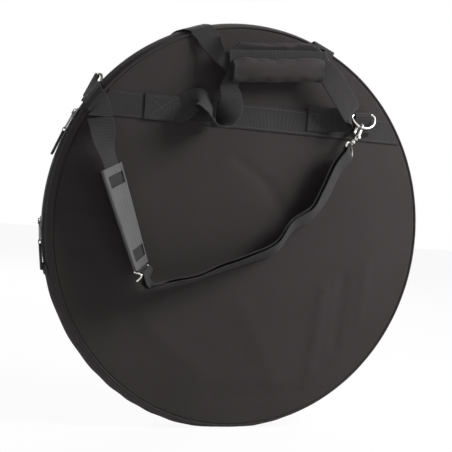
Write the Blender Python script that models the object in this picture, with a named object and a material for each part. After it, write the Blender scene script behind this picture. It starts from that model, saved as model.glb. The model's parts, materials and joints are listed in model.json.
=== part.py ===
"""Round padded cymbal bag with a zipped front cover, a carry handle and a shoulder strap.

The bag stands on the flattened bottom of its pocket. X is to the right, Y to the back, Z up.
The front cover faces -Y. The origin is the middle of the flat that the bag rests on.
All lengths are in metres.
"""
import math

import bmesh
import bpy
import numpy as np
from mathutils import Matrix

for thing in list(bpy.data.objects):
    bpy.data.objects.remove(thing, do_unlink=True)

# Driving dimensions
panel_radius = 0.2990
bag_depth = 0.046
foot_clearance = 0.0055
fold_drop = 0.068
webbing_width = 0.038
webbing_thickness = 0.0018
wire_radius = 0.0020
fit_gap = 0.0003

# Padded panels: foam between two fabrics, a little crowned on the outside
panel_foam = 0.008
panel_crown = 0.005
panel_proud = 0.0012
panel_edge_round = 0.0020
lining_thickness = 0.0008
lining_inset = 0.003

# Piping, gusset and the pocket's full-width gusset
piping_radius = 0.0020
gusset_thickness = 0.0032
hem_thickness = 0.0015
hem_offset = 0.0075
gusset_rise = 0.0050
pocket_bulge = 0.0075

# Zip: two rows of coil on their tapes, with the slider's neck running between the rows
chain_gap = 0.0015
coil_width = 0.0036
coil_height = 0.0034
tape_thickness = 0.0010
tape_reach = 0.0095
end_tab_length = 0.014
end_tab_thickness = 0.0012

# Band, and the places on it where handle legs are sewn
band_drop = 0.1486
band_thickness = 0.0014
band_end_margin = 0.0035

turn_steps = 72
weld_distance = 0.000001
sharp_angle = math.radians(40)
one_degree = math.radians(1)

# Places worked out from the sizes above
half_depth = bag_depth / 2
rim_depth = half_depth + panel_proud
inner_depth = rim_depth - panel_foam
gusset_edge = half_depth - piping_radius - fit_gap
gusset_seam_radius = panel_radius + fit_gap + gusset_thickness
hem_radius = gusset_seam_radius + gusset_rise
piping_centre = panel_radius + fit_gap + piping_radius
rest_height = panel_radius + foot_clearance
fold_height = rest_height - fold_drop


def material(name, colour, roughness, metallic=0.0):
    """Plain Principled material in the colour of the real piece."""
    made = bpy.data.materials.new(name)
    made.use_nodes = True
    shader = made.node_tree.nodes["Principled BSDF"]
    shader.inputs["Base Color"].default_value = (*colour, 1)
    shader.inputs["Roughness"].default_value = roughness
    shader.inputs["Metallic"].default_value = metallic
    return made


charcoal = material("charcoal_polyester", (0.060, 0.055, 0.056), 0.85)
lining_grey = material("lining_nylon", (0.045, 0.045, 0.047), 0.80)
webbing_grey = material("webbing", (0.040, 0.042, 0.042), 0.80)
piping_grey = material("piping", (0.045, 0.043, 0.044), 0.70)
tape_grey = material("zip_tape", (0.030, 0.030, 0.031), 0.85)
coil_grey = material("zip_coil", (0.050, 0.050, 0.052), 0.45)
fleece_grey = material("grip_lining", (0.030, 0.028, 0.032), 0.95)
pad_rubber = material("pad_rubber", (0.110, 0.112, 0.115), 0.60)
slider_metal = material("slider_metal", (0.300, 0.300, 0.310), 0.40, 1.0)
nickel = material("nickel", (0.700, 0.690, 0.670), 0.22, 1.0)


def at(x, y, z):
    """Point given from the centre of the bag's round panels."""
    return np.array((x, y, z + rest_height))


def rim_point(radius, angle, y):
    """Point at a radius and an angle about the bag's axis; the angle turns from +X towards +Z."""
    return at(radius * math.cos(angle), y, radius * math.sin(angle))


def face_depth(x, z):
    """How far a panel's crowned outer face lies from the bag's middle plane."""
    share = (x * x + z * z) / panel_radius**2
    return rim_depth + panel_crown * max(0.0, 1 - share)


def off_front(x, z, stand_off):
    """Point in front of the front panel's face."""
    return at(x, -face_depth(x, z) - stand_off, z)


def off_back(x, z, stand_off):
    """Point behind the back panel's face."""
    return at(x, face_depth(x, z) + stand_off, z)


def pivot(name, point):
    """Empty on a joint's axis, which carries the pieces that turn or slide there."""
    empty = bpy.data.objects.new(name, None)
    empty.location = point
    bpy.context.collection.objects.link(empty)
    return empty


def carry(thing, carrier):
    """Parent a piece that is modelled in place to the empty on its joint."""
    thing.parent = carrier
    thing.matrix_parent_inverse = Matrix.Translation(-carrier.location)


def piece(name, mesh, finish, carrier=None, smooth=True):
    """Turn a bmesh into the named object of one sub-part."""
    data = bpy.data.meshes.new(name)
    bmesh.ops.recalc_face_normals(mesh, faces=mesh.faces)
    mesh.to_mesh(data)
    mesh.free()
    data.materials.append(finish)
    if smooth:
        data.shade_smooth()
        data.set_sharp_from_angle(angle=sharp_angle)
    thing = bpy.data.objects.new(name, data)
    bpy.context.collection.objects.link(thing)
    if carrier:
        carry(thing, carrier)
    return thing


def loft(rings, around=False):
    """Closed solid through rings of points, capped at both ends or joined all the way round."""
    mesh = bmesh.new()
    corners = [[mesh.verts.new(point) for point in ring] for ring in rings]
    count = len(corners)
    sides = len(corners[0])
    for index in range(count if around else count - 1):
        near = corners[index]
        far = corners[(index + 1) % count]
        for side in range(sides):
            after = (side + 1) % sides
            mesh.faces.new((near[side], near[after], far[after], far[side]))
    if not around:
        mesh.faces.new(corners[0])
        mesh.faces.new(corners[-1])
    bmesh.ops.remove_doubles(mesh, verts=mesh.verts, dist=weld_distance)
    bmesh.ops.delete(mesh, geom=[edge for edge in mesh.edges if edge.is_wire], context="EDGES")
    return mesh


def turned(outline, side, first=0.0, last=math.tau):
    """Outline of (radius, depth) points swept about the bag's axis; side is -1 front, 1 back."""
    steps = max(2, round(turn_steps * (last - first) / math.tau))
    whole = last - first > math.tau - one_degree
    angles = np.linspace(first, last, steps + 1)
    if whole:
        angles = angles[:-1]
    rings = [[rim_point(radius, angle, side * depth) for radius, depth in outline] for angle in angles]
    return loft(rings, around=whole)


def keep(mesh, height, above):
    """Cut a solid along a level plane and close the cut."""
    everything = mesh.verts[:] + mesh.edges[:] + mesh.faces[:]
    bmesh.ops.bisect_plane(
        mesh, geom=everything, dist=weld_distance, plane_co=(0, 0, height), plane_no=(0, 0, 1),
        clear_outer=not above, clear_inner=above,
    )
    rim = [edge for edge in mesh.edges if edge.is_boundary]
    bmesh.ops.holes_fill(mesh, edges=rim, sides=0)
    return mesh


above_fold = fold_height + fit_gap / 2
below_fold = fold_height - fit_gap / 2

# Joint pivots that several pieces share
fold_stand_off = face_depth(0, -fold_drop) + fit_gap
cover_pivot = pivot("front_cover", at(0, -fold_stand_off, -fold_drop))

# Panels and linings
crown_shares = (0, 0.2, 0.4, 0.6, 0.8, 0.93)


def panel_outline():
    """Half section of a padded panel, from its middle out to the rim and back inside."""
    outer = [(share * panel_radius, face_depth(share * panel_radius, 0)) for share in crown_shares]
    shoulder_radius = panel_radius - panel_edge_round
    outer.append((shoulder_radius, face_depth(shoulder_radius, 0)))
    outer.append((panel_radius, rim_depth - panel_edge_round))
    return outer + [(panel_radius, inner_depth), (0, inner_depth)]


def lining_outline():
    """Half section of the thin lining that lies inside a panel."""
    outer = inner_depth - fit_gap
    inner = outer - lining_thickness
    radius = panel_radius - lining_inset
    return [(0, outer), (radius, outer), (radius, inner), (0, inner)]


piece("back_panel", turned(panel_outline(), 1), charcoal)
piece("back_lining", turned(lining_outline(), 1), lining_grey)
piece("front_panel_upper", keep(turned(panel_outline(), -1), above_fold, True), charcoal, cover_pivot)
piece("front_panel_pocket", keep(turned(panel_outline(), -1), below_fold, False), charcoal)
piece("front_lining_upper", keep(turned(lining_outline(), -1), above_fold, True), lining_grey, cover_pivot)
piece("front_lining_pocket", keep(turned(lining_outline(), -1), below_fold, False), lining_grey)

# Piping: a cord in a fabric sleeve, sewn into both panel seams
piping_sides = 8


def piping_outline():
    """Round section of the piping, in the corner between panel and gusset."""
    turns = [math.tau * (side + 0.5) / piping_sides for side in range(piping_sides)]
    return [(piping_centre + piping_radius * math.cos(turn), half_depth + piping_radius * math.sin(turn))
            for turn in turns]


piece("back_piping", turned(piping_outline(), 1), piping_grey)
piece("front_piping_upper", keep(turned(piping_outline(), -1), above_fold, True), piping_grey, cover_pivot)
piece("front_piping_pocket", keep(turned(piping_outline(), -1), below_fold, False), piping_grey)

# Gussets on both sides of the zip, with a folded hem beside the coil
gusset_shares = (0, 0.25, 0.5, 0.75, 1)
gusset_end_angle = math.asin(fold_drop / hem_radius)


def gusset_outer(share):
    """Outer radius of a zipped gusset, from the panel seam (0) to the hem (1)."""
    return gusset_seam_radius + gusset_rise * math.sin(share * math.pi / 2)


def gusset_wall(share):
    """Wall of a zipped gusset, thinner towards the hem."""
    return gusset_thickness + (hem_thickness - gusset_thickness) * share


def gusset_outline():
    """Section of a zipped gusset."""
    depths = [gusset_edge + (hem_offset - gusset_edge) * share for share in gusset_shares]
    outer = [(gusset_outer(share), depth) for share, depth in zip(gusset_shares, depths)]
    inner = [(gusset_outer(share) - gusset_wall(share), depth) for share, depth in zip(gusset_shares, depths)]
    return outer + inner[::-1]


def zipped_arc(outline, side):
    """Sweep along the zipped part of the rim and cut it level with the fold."""
    spare = math.tau / turn_steps
    mesh = turned(outline, side, -gusset_end_angle - spare, math.pi + gusset_end_angle + spare)
    return keep(mesh, above_fold, True)


piece("front_gusset", zipped_arc(gusset_outline(), -1), charcoal, cover_pivot)
piece("back_gusset", zipped_arc(gusset_outline(), 1), charcoal)

# The pocket's gusset is one full-width strip, flattened where the bag stands on it
pocket_shares = (-1, -0.8, -0.5, 0, 0.5, 0.8, 1)
pocket_steps = 48
steep_share = 0.5


def pocket_radius(share, angle):
    """Outer radius of the pocket gusset across its width (share -1 to 1) and round the rim."""
    full = gusset_seam_radius + pocket_bulge * (1 - share * share)
    return min(full, rest_height / max(-math.sin(angle), steep_share))


def pocket_gusset():
    """Full-width gusset below the fold."""
    rings = []
    start = math.pi + gusset_end_angle - math.tau / turn_steps
    for angle in np.linspace(start, 3 * math.pi - start, pocket_steps + 1):
        outer = [rim_point(pocket_radius(share, angle), angle, share * gusset_edge) for share in pocket_shares]
        inner = [rim_point(pocket_radius(share, angle) - gusset_thickness, angle, share * gusset_edge)
                 for share in pocket_shares]
        rings.append(outer + inner[::-1])
    return keep(loft(rings), below_fold, False)


piece("pocket_gusset", pocket_gusset(), charcoal)

# Zip tapes, coil rows and the tabs over the zip's two ends
tape_share = (gusset_edge - tape_reach) / (gusset_edge - hem_offset)
tape_outer = gusset_outer(tape_share) - gusset_wall(tape_share) - fit_gap
tape_inner = tape_outer - tape_thickness
coil_base = tape_outer + fit_gap
coil_top = coil_base + coil_height
coil_near = chain_gap / 2
coil_far = coil_near + coil_width


def tape_outline():
    """Section of a zip tape."""
    outer = [(tape_outer, coil_near), (tape_outer, tape_reach)]
    return outer + [(tape_inner, tape_reach), (tape_inner, coil_near)]


arch_turns = np.linspace(0, math.pi, 5)


def coil_outline():
    """Section of one coil row: an arch on a flat foot."""
    middle = (coil_near + coil_far) / 2
    return [(coil_base + coil_height * math.sqrt(abs(math.sin(turn))), middle - coil_width / 2 * math.cos(turn))
            for turn in arch_turns]


for side_name, side, carrier in (("front", -1, cover_pivot), ("back", 1, None)):
    piece(side_name + "_zip_tape", zipped_arc(tape_outline(), side), tape_grey, carrier)
    piece(side_name + "_zip_coil", zipped_arc(coil_outline(), side), coil_grey, carrier)


end_tab_shares = (-0.58, -0.5, 0, 0.5, 0.58)
end_tab_steps = 4


def end_tab(angle, toward):
    """Fabric tab sewn on the pocket gusset over one end of the zip."""
    reach = end_tab_length / hem_radius * toward
    rings = []
    for sweep in np.linspace(0, reach, end_tab_steps):
        foot = [pocket_radius(share, angle + sweep) + fit_gap for share in end_tab_shares]
        spots = [share * gusset_edge for share in end_tab_shares]
        lower = [rim_point(radius, angle + sweep, y) for radius, y in zip(foot, spots)]
        upper = [rim_point(radius + end_tab_thickness, angle + sweep, y) for radius, y in zip(foot, spots)]
        rings.append(lower + upper[::-1])
    return loft(rings)


tab_start = gusset_end_angle + one_degree / 2
piece("zip_end_tab_left", end_tab(math.pi + tab_start, 1), webbing_grey)
piece("zip_end_tab_right", end_tab(-tab_start, -1), webbing_grey)


def smooth_path(points, count):
    """Catmull-Rom curve through hand-placed points, as evenly shared samples."""
    points = np.asarray(points, float)
    ends = np.vstack((2 * points[0] - points[1], points, 2 * points[-1] - points[-2]))
    places = np.linspace(0, len(points) - 1, count)
    first = np.minimum(places.astype(int), len(points) - 2)
    t = (places - first)[:, None]
    a, b, c, d = (ends[first + shift] for shift in range(4))
    return 0.5 * (2 * b + (c - a) * t + (2 * a - 5 * b + 4 * c - d) * t**2 + (3 * b - a - 3 * c + d) * t**3)


def unit(vector):
    """Vector or rows of vectors, each made one long."""
    vector = np.asarray(vector, float)
    return vector / np.linalg.norm(vector, axis=-1, keepdims=True)


def ribbon(points, acrosses, width, thickness, square):
    """Strap solid along a path; a squared strap has its across vectors at right angles to the path."""
    points = np.asarray(points, float)
    along = unit(np.gradient(points, axis=0))
    across = np.asarray(acrosses, float)
    if square:
        across = across - along * np.sum(across * along, axis=1)[:, None]
    across = unit(across)
    out = unit(np.cross(along, across))
    rings = []
    for centre, wide, high in zip(points, across * width / 2, out * thickness / 2):
        rings.append([centre - wide - high, centre + wide - high, centre + wide + high, centre - wide + high])
    return loft(rings)


def strap_through(stations, count, width=webbing_width, square=True):
    """Strap solid through stations of (point, across vector)."""
    points = smooth_path([point for point, across in stations], count)
    acrosses = smooth_path([across for point, across in stations], count)
    return ribbon(points, acrosses, width, webbing_thickness, square)


# Load bands: webbing sewn flat across each panel
band_steps = 24
band_middle = band_drop + webbing_width / 2


def band(side):
    """Band across one panel, which follows the crown and ends at the piping."""
    rings = []
    for share in np.linspace(-1, 1, band_steps + 1):
        ring = []
        for lift, skin in ((0, 0), (webbing_width / 2, 0), (webbing_width, 0),
                           (webbing_width, 1), (webbing_width / 2, 1), (0, 1)):
            z = band_drop + lift
            reach = math.sqrt(panel_radius**2 - z * z) - band_end_margin
            depth = face_depth(share * reach, z) + fit_gap + band_thickness * skin
            ring.append(at(share * reach, side * depth, z))
        rings.append(ring)
    return loft(rings)


piece("front_band", band(-1), webbing_grey, cover_pivot)
piece("back_band", band(1), webbing_grey)
on_band = fit_gap + band_thickness + fit_gap + webbing_thickness / 2

# Carry handle. Places are shares of the panel radius, stand-offs are shares of the webbing width
grip_centre_shares = (0.0535, 0.64, 0.823)
grip_length = 0.147
grip_slope = math.radians(6)
grip_wall = 0.006
grip_bore = 0.013
grip_drop = 0.012
grip_flap = 0.030
grip_front_rise = 0.010
grip_mouth_shares = (1.15, 0.85)
grip_station_shares = (-0.5, -0.47, -0.25, 0, 0.25, 0.47, 0.5)
grip_pinch_shares = (0.93, 1, 1, 1, 1, 1, 0.93)

grip_x = grip_centre_shares[0] * panel_radius
grip_z = grip_centre_shares[2] * panel_radius
grip_off = grip_centre_shares[1] * webbing_width
grip_middle = off_front(grip_x, grip_z, grip_off)
grip_along = np.array((math.cos(grip_slope), 0, math.sin(grip_slope)))
grip_up = np.array((-math.sin(grip_slope), 0, math.cos(grip_slope)))
grip_out = np.array((0, -1, 0))
handle_left_angle = math.radians(108.5)
handle_right_angle = math.radians(69.5)
rim_over = coil_top + fit_gap + webbing_thickness / 2
corner_reach = piping_radius + band_thickness + webbing_thickness / 2 + 2 * fit_gap
corner_depth = half_depth + corner_reach
rim_lip = piping_centre - corner_reach / 2 - fit_gap
lip_top = rim_lip * math.sin(handle_left_angle) + webbing_width / 2 * abs(math.cos(handle_left_angle))
handle_axis = at(0, -corner_depth - webbing_thickness / 2, lip_top)
handle_pivot = pivot("carry_handle", handle_axis)


def grip_section():
    """Section of the wrap: a tall back flap, a rounded fold under the webbing, a shorter front."""
    middle = grip_bore / 2 + grip_wall / 2
    line = [(-middle, grip_flap), (-middle, grip_flap / 2), (-middle, 0)]
    line += [(-middle * math.cos(turn), -grip_drop - middle * math.sin(turn)) for turn in arch_turns]
    line += [(middle * share, high) for share, high in zip(grip_mouth_shares, (0, grip_front_rise))]
    return np.array(line)


def thick_line(line, thickness):
    """Closed outline round an open line, at half the thickness on both sides."""
    step = np.gradient(line, axis=0)
    step /= np.linalg.norm(step, axis=1)[:, None]
    sideways = np.stack((-step[:, 1], step[:, 0]), axis=1) * thickness / 2
    return np.vstack((line + sideways, (line - sideways)[::-1]))


def grip_wrap():
    """Padded wrap that closes round both runs of handle webbing."""
    outline = thick_line(grip_section(), grip_wall)
    rings = []
    for share, pinch in zip(grip_station_shares, grip_pinch_shares):
        start = grip_middle + grip_along * grip_length * share
        rings.append([start + grip_out * across * pinch + grip_up * high * pinch for across, high in outline])
    return loft(rings)


piece("grip_wrap", grip_wrap(), charcoal, handle_pivot)

hook_tape_width = 0.012
hook_tape_thickness = 0.0012
hook_tape_end_share = 0.44


def grip_hook_tape():
    """Hook-and-loop strip on the inner face of the back flap."""
    base = -grip_bore / 2 + fit_gap
    low = grip_flap - hook_tape_width - grip_wall / 2
    high = grip_flap - grip_wall / 2
    skin = base + hook_tape_thickness
    rings = []
    for share in (-hook_tape_end_share, hook_tape_end_share):
        start = grip_middle + grip_along * grip_length * share
        rings.append([start + grip_out * across + grip_up * up
                      for across, up in ((base, low), (skin, low), (skin, high), (base, high))])
    return loft(rings)


piece("grip_hook_tape", grip_hook_tape(), fleece_grey, handle_pivot)

# Inside the grip lie a run of the rear webbing and a run of the front webbing
run_spacing = 0.0050
run_overhang = 0.003
run_centre_drop = 0.004


def grip_run_point(share, which):
    """Point on a webbing run inside the grip; which is -1 for the rear run, 1 for the front one."""
    span = grip_length / 2 + run_overhang
    spot = grip_middle + grip_along * span * share + grip_out * which * run_spacing / 2
    return spot + grip_up * run_centre_drop


front_run = [(grip_run_point(-1, 1), grip_up), (grip_run_point(1, 1), grip_up)]
piece("front_handle_run", strap_through(front_run, 3), webbing_grey, handle_pivot)


def along_face(x, z, direction, stand):
    """Direction laid along a crowned face; stand points away from the bag."""
    slope = 2 * panel_crown * (x * direction[0] + z * direction[2]) / panel_radius**2
    return unit(np.asarray(direction, float) - np.asarray(stand) * slope)


def placed(shares):
    """Stations from shares: x and z of the panel radius, stand-off of the webbing width."""
    stations = []
    for x, off, z, across in shares:
        point = off_front(x * panel_radius, z * panel_radius, on_band + off * webbing_width)
        stations.append((point, along_face(x * panel_radius, z * panel_radius, across, grip_out)))
    return stations


left_leg_shares = (
    (-0.595, 0, 0.5605, (0, 0, 1)),
    (-0.500, 0.004, 0.5605, (0, 0, 1)),
    (-0.430, 0.026, 0.5605, (0, 0, 1)),
    (-0.380, 0.16, 0.575, (-0.05, 0.25, 1)),
    (-0.335, 0.40, 0.588, (0.25, 0.55, 0.8)),
    (-0.294, 0.58, 0.555, (0.5, 0.75, 0.4)),
    (-0.267, 0.62, 0.507, (0.2, 1, 0.1)),
    (-0.234, 0.62, 0.490, (-0.1, 1, 0)),
    (-0.200, 0.60, 0.520, (-0.5, 0.85, 0)),
    (-0.178, 0.52, 0.590, (-0.95, 0.3, 0)),
    (-0.176, 0.50, 0.645, (-1, 0, 0)),
    (-0.190, 0.50, 0.685, (-0.93, 0, -0.25)),
)
right_leg_shares = (
    (0.290, 0, 0.585, (0, 0, 1)),
    (0.370, 0.015, 0.585, (0, 0, 1)),
    (0.430, 0.14, 0.590, (0, 0, 1)),
    (0.490, 0.26, 0.600, (0.25, 0, 0.97)),
    (0.515, 0.42, 0.615, (0.4, 0, 0.9)),
    (0.500, 0.58, 0.640, (0.55, 0, 0.8)),
    (0.455, 0.68, 0.690, (0.68, 0, 0.73)),
    (0.405, 0.72, 0.745, (0.66, 0, 0.75)),
    (0.368, 0.73, 0.790, (0.55, 0, 0.83)),
)
piece("front_handle_leg_left", strap_through(placed(left_leg_shares), 44), webbing_grey, cover_pivot)
piece("front_handle_leg_right", strap_through(placed(right_leg_shares), 34), webbing_grey, cover_pivot)


rim_drift_shares = (0, 0.25, 0.55, 0.75, 0.9, 1)


def over_rim(angle, drift, side):
    """Stations of webbing that crosses the rim, from the zip plane to the panel's edge."""
    stations = []
    slant = corner_reach * math.sqrt(1 / 2)
    path = (
        (rim_over, fit_gap),
        (rim_over, hem_offset),
        ((rim_over + piping_centre + corner_reach) / 2, (gusset_edge + hem_offset) / 2 + corner_reach),
        (piping_centre + corner_reach, half_depth),
        (piping_centre + slant, half_depth + slant),
        (piping_centre - corner_reach / 2, corner_depth),
    )
    for (radius, depth), share in zip(path, rim_drift_shares):
        turn = angle + drift * (1 - share)
        across = np.array((-math.sin(turn), 0, math.cos(turn)))
        stations.append((rim_point(radius, turn, side * depth), across))
    return stations


handle_drift = math.radians(1.5)
for name, angle, drift in (("left", handle_left_angle, handle_drift),
                           ("right", handle_right_angle, -handle_drift)):
    stations = over_rim(angle, drift, -1)
    piece("rear_handle_over_rim_" + name, strap_through(stations, 14, square=False), webbing_grey, cover_pivot)

# The rear webbing hangs from the rim down to the grip, runs through it and goes up again
rear_slack_share = 0.30
elbow_share = 0.30
rise_share = 0.14


def rear_leg(angle, toward):
    """Stations from the rim's front corner to the grip's end."""
    leave = rim_lip - webbing_width / 4
    end = grip_run_point(toward, -1)
    tangent = np.array((-math.sin(angle), 0, math.cos(angle))) * toward
    next_depth = corner_depth + rear_slack_share * webbing_width / 4
    next_point = rim_point(leave, angle + toward * one_degree, -next_depth)
    rise = np.array((0, 0, webbing_width * rise_share))
    elbow = end + grip_along * toward * webbing_width * elbow_share + rise
    middle = (next_point + elbow) / 2
    return [(rim_point(rim_lip, angle, -corner_depth), tangent), (next_point, tangent),
            (middle, tangent + grip_up), (elbow, grip_up + tangent / 2), (end, grip_up)]


inside_shares = (-0.9, -0.45, 0, 0.45, 0.9)
inside_run = [(grip_run_point(share, -1), grip_up) for share in inside_shares]
whole_run = rear_leg(handle_left_angle, -1) + inside_run + rear_leg(handle_right_angle, 1)[::-1]
piece("rear_handle_front", strap_through(whole_run, 56, square=False), webbing_grey, handle_pivot)

# Behind the bag the rear webbing comes down to where it is sewn on the back band
rear_tail_shares = ((0.365, 0.86), (0.35, 0.76), (0.335, 0.66), (0.33, 0.53))
tail_slant_share = 0.15


def rear_tail(angle, drift, toward):
    """Rear handle webbing behind the bag."""
    stations = over_rim(angle + 2 * drift, -drift, 1)
    for x, z in rear_tail_shares:
        point = off_back(toward * x * panel_radius, z * panel_radius, on_band)
        stations.append((point, np.array((-1, 0, tail_slant_share * toward))))
    return stations


for name, angle, drift, toward in (("left", handle_left_angle, handle_drift, -1),
                                   ("right", handle_right_angle, -handle_drift, 1)):
    tail = strap_through(rear_tail(angle, drift, toward), 28, square=False)
    piece("rear_handle_tail_" + name, tail, webbing_grey)


def local(origin, axes, *points):
    """World places of points given along three axes from an origin."""
    return [np.asarray(origin) + sum(amount * np.asarray(axis) for amount, axis in zip(point, axes))
            for point in points]


def box(origin, axes, low, high):
    """Block between two opposite corners given along its own axes."""
    rings = []
    for first in (low[0], high[0]):
        rings.append(local(origin, axes, (first, low[1], low[2]), (first, high[1], low[2]),
                           (first, high[1], high[2]), (first, low[1], high[2])))
    return loft(rings)


tube_sides = 10


def tube(points, radii, normal, around=False):
    """Round wire along a path that lies in a plane with the given normal."""
    points = np.asarray(points, float)
    if around:
        along = unit(np.roll(points, -1, axis=0) - np.roll(points, 1, axis=0))
    else:
        along = unit(np.gradient(points, axis=0))
    sideways = unit(np.cross(along, normal))
    turns = np.arange(tube_sides) * math.tau / tube_sides
    rings = []
    for centre, side, radius in zip(points, sideways, np.broadcast_to(radii, len(points))):
        rings.append([centre + radius * (math.cos(turn) * normal + math.sin(turn) * side) for turn in turns])
    return loft(rings, around)


def combined(first, second, operation):
    """Exact union or difference of two closed solids."""
    things = []
    for mesh in (first, second):
        data = bpy.data.meshes.new("solid")
        bmesh.ops.recalc_face_normals(mesh, faces=mesh.faces)
        mesh.to_mesh(data)
        mesh.free()
        thing = bpy.data.objects.new("solid", data)
        bpy.context.collection.objects.link(thing)
        things.append(thing)
    step = things[0].modifiers.new("step", "BOOLEAN")
    step.operation = operation
    step.solver = "EXACT"
    step.object = things[1]
    graph = bpy.context.evaluated_depsgraph_get()
    result = bmesh.new()
    result.from_mesh(things[0].evaluated_get(graph).to_mesh())
    for thing in things:
        bpy.data.objects.remove(thing, do_unlink=True)
    return result


# Shoulder strap. It hangs from the front ring, runs up through the pad and goes over the left rim
strap_angle = math.radians(146.5)
strap_drift = math.radians(-2.5)
strap_start_shares = (-0.8194, 0.4866)
strap_heading = np.array((0.369, 0, -0.929))
strap_side = np.array((-0.929, 0, -0.369))
strap_pull_heading = (-0.45, -0.155, -0.90)
strap_turn = math.radians(49)
edge_turn = math.radians(47)
lead_turn = math.radians(85)
pad_length = 0.150
pad_width = 0.054
pad_clear = 0.003
pad_top_shares = (-0.765, 0.2555)
pad_travel = 0.036

# Rings, their webbing chapes and the swivel hooks
ring_half = 0.020
ring_bow = 0.024
ring_tilt = math.radians(31)
chape_width = 0.030
chape_length = 0.031
chape_close_shares = ((0.35, 0.4), (0.65, 1), (0.9, 1))
front_ring_shares = (0.607, 0.6321)
rear_ring_shares = (-0.593, 0.5428)
rear_tilt = math.radians(14)
rear_heading = math.radians(155)
rear_sink_share = 0.45
rear_tail_end_shares = ((0.7, 1), (0.2, 2.2))
hook_inner = 0.0055
hook_wire = 0.0019
hook_spine_shares = ((0.9, -0.98), (1.5, -0.75), (1.9, -0.25), (2.3, 0), (3.2, 0), (3.22, 0), (3.75, 0))
hook_stout_shares = (0.8,) + 12 * (1,) + (1.05, 1.1, 1.2, 1.35, 1.35, 2.1, 2.1)
hook_tip_turn = -0.2
guide_low_shares = (1.6, 0.1)
guide_high_shares = (2.7, 1.2)
guide_wide_share = 1.4
groove_share = 0.75
rod_shares = ((1.2, 1), (2.1, 1), (2.3, 1.1), (2.35, 1.4), (2.35, 1.65))
rod_stout_shares = (0.7, 0.7, 0.7, 0.7, 0.7, 1)
tip_share = 0.2
collar_share = hook_spine_shares[-1][0]
eye_reach = 0.044
eye_spare = 0.001
eye_half = webbing_width / 2 + wire_radius + eye_spare
eye_side_shares = ((0.03, 0.07), (0.12, 0.45), (0.28, 0.80), (0.55, 1), (0.88, 1))
eye_bar_shares = (0.92, 0.6, 0.3)
stem_share = 0.8

ring_off = on_band + webbing_thickness / 2 + 3 * fit_gap + wire_radius
chape_turn = wire_radius + fit_gap + webbing_thickness / 2
outward = np.array((0, -1, 0))


def ring_loop(bar, bar_direction, droop):
    """D-shaped wire loop: a straight bar and a bow."""
    corner = 2 * wire_radius
    flat = [(share * (ring_half - corner), 0) for share in np.linspace(-1, 1, 5)]
    bow = []
    for turn in np.linspace(0, math.pi, 15):
        bow.append((ring_half * math.cos(turn), corner + (ring_bow - corner) * math.sin(turn)))
    path = [bar + bar_direction * x + droop * depth for x, depth in flat + bow]
    return tube(path, wire_radius, np.cross(bar_direction, droop), around=True)


def chape(bar, bar_direction, toward, stand):
    """Webbing sewn to a band and turned round the bar of a ring; stand points away from the bag."""
    back = bar - stand * chape_turn
    front = bar + stand * chape_turn
    sewn = stand * (webbing_thickness + fit_gap - 2 * chape_turn)
    stations = [(back + toward * reach, bar_direction) for reach in (chape_length, chape_length / 2, chape_turn, 0)]
    for turn in np.linspace(0, math.pi, 9)[1:-1]:
        spot = bar - chape_turn * (stand * math.cos(turn) + toward * math.sin(turn))
        stations.append((spot, bar_direction))
    stations += [(front, bar_direction), (front + toward * chape_turn, bar_direction)]
    for share, closed in chape_close_shares:
        stations.append((front + toward * chape_length * share + sewn * closed, bar_direction))
    return strap_through(stations, 60, chape_width)


def swivel_hook(name, origin, axes, carrier, bolt_carrier):
    """Hook on a swivel stem, and the sprung bolt that closes it; axes are pull, bolt side and width."""
    reach = hook_inner + hook_wire
    path = []
    for turn in np.linspace(hook_tip_turn, math.pi, 13):
        path.append((-reach * math.sin(turn), reach * math.cos(turn), 0))
    path += [(reach * along, reach * aside, 0) for along, aside in hook_spine_shares]
    wire = tube(local(origin, axes, *path), np.array(hook_stout_shares) * hook_wire, axes[2])
    guide_low = [reach * share for share in guide_low_shares] + [-guide_wide_share * hook_wire]
    guide_high = [reach * share for share in guide_high_shares] + [guide_wide_share * hook_wire]
    guide = box(origin, axes, guide_low, guide_high)
    groove_half = groove_share * hook_wire + fit_gap
    groove = box(origin, axes, (reach, reach - groove_half, -groove_half), (3 * reach, 2 * reach, groove_half))
    body = combined(combined(wire, guide, "UNION"), groove, "DIFFERENCE")
    piece(name, body, nickel, carrier)
    rod = [(reach * tip_share + hook_wire, reach, 0)]
    rod += [(reach * along, reach * aside, 0) for along, aside in rod_shares]
    bolt = tube(local(origin, axes, *rod), np.array(rod_stout_shares) * hook_wire, axes[2])
    piece(name + "_bolt", bolt, nickel, bolt_carrier)


def hook_eye(origin, pull, wide):
    """Wire eye for the webbing, with the short stem that the hook turns on."""
    reach = hook_inner + hook_wire
    collar = collar_share * reach
    neck = collar + fit_gap + 2 * wire_radius
    side = [(neck + (eye_reach - neck) * down, eye_half * out) for down, out in eye_side_shares]
    bar = [(eye_reach, eye_half * share) for share in eye_bar_shares]
    right = side + bar
    path = right + [(eye_reach, 0)] + [(along, -out) for along, out in right[::-1]]
    normal = np.cross(pull, wide)
    loop = tube([origin + pull * along + wide * out for along, out in path], wire_radius, normal, around=True)
    stem = tube([origin + pull * along for along in (collar + fit_gap, neck - wire_radius / 2, neck)],
                stem_share * wire_radius, normal)
    return combined(loop, stem, "UNION")


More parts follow.
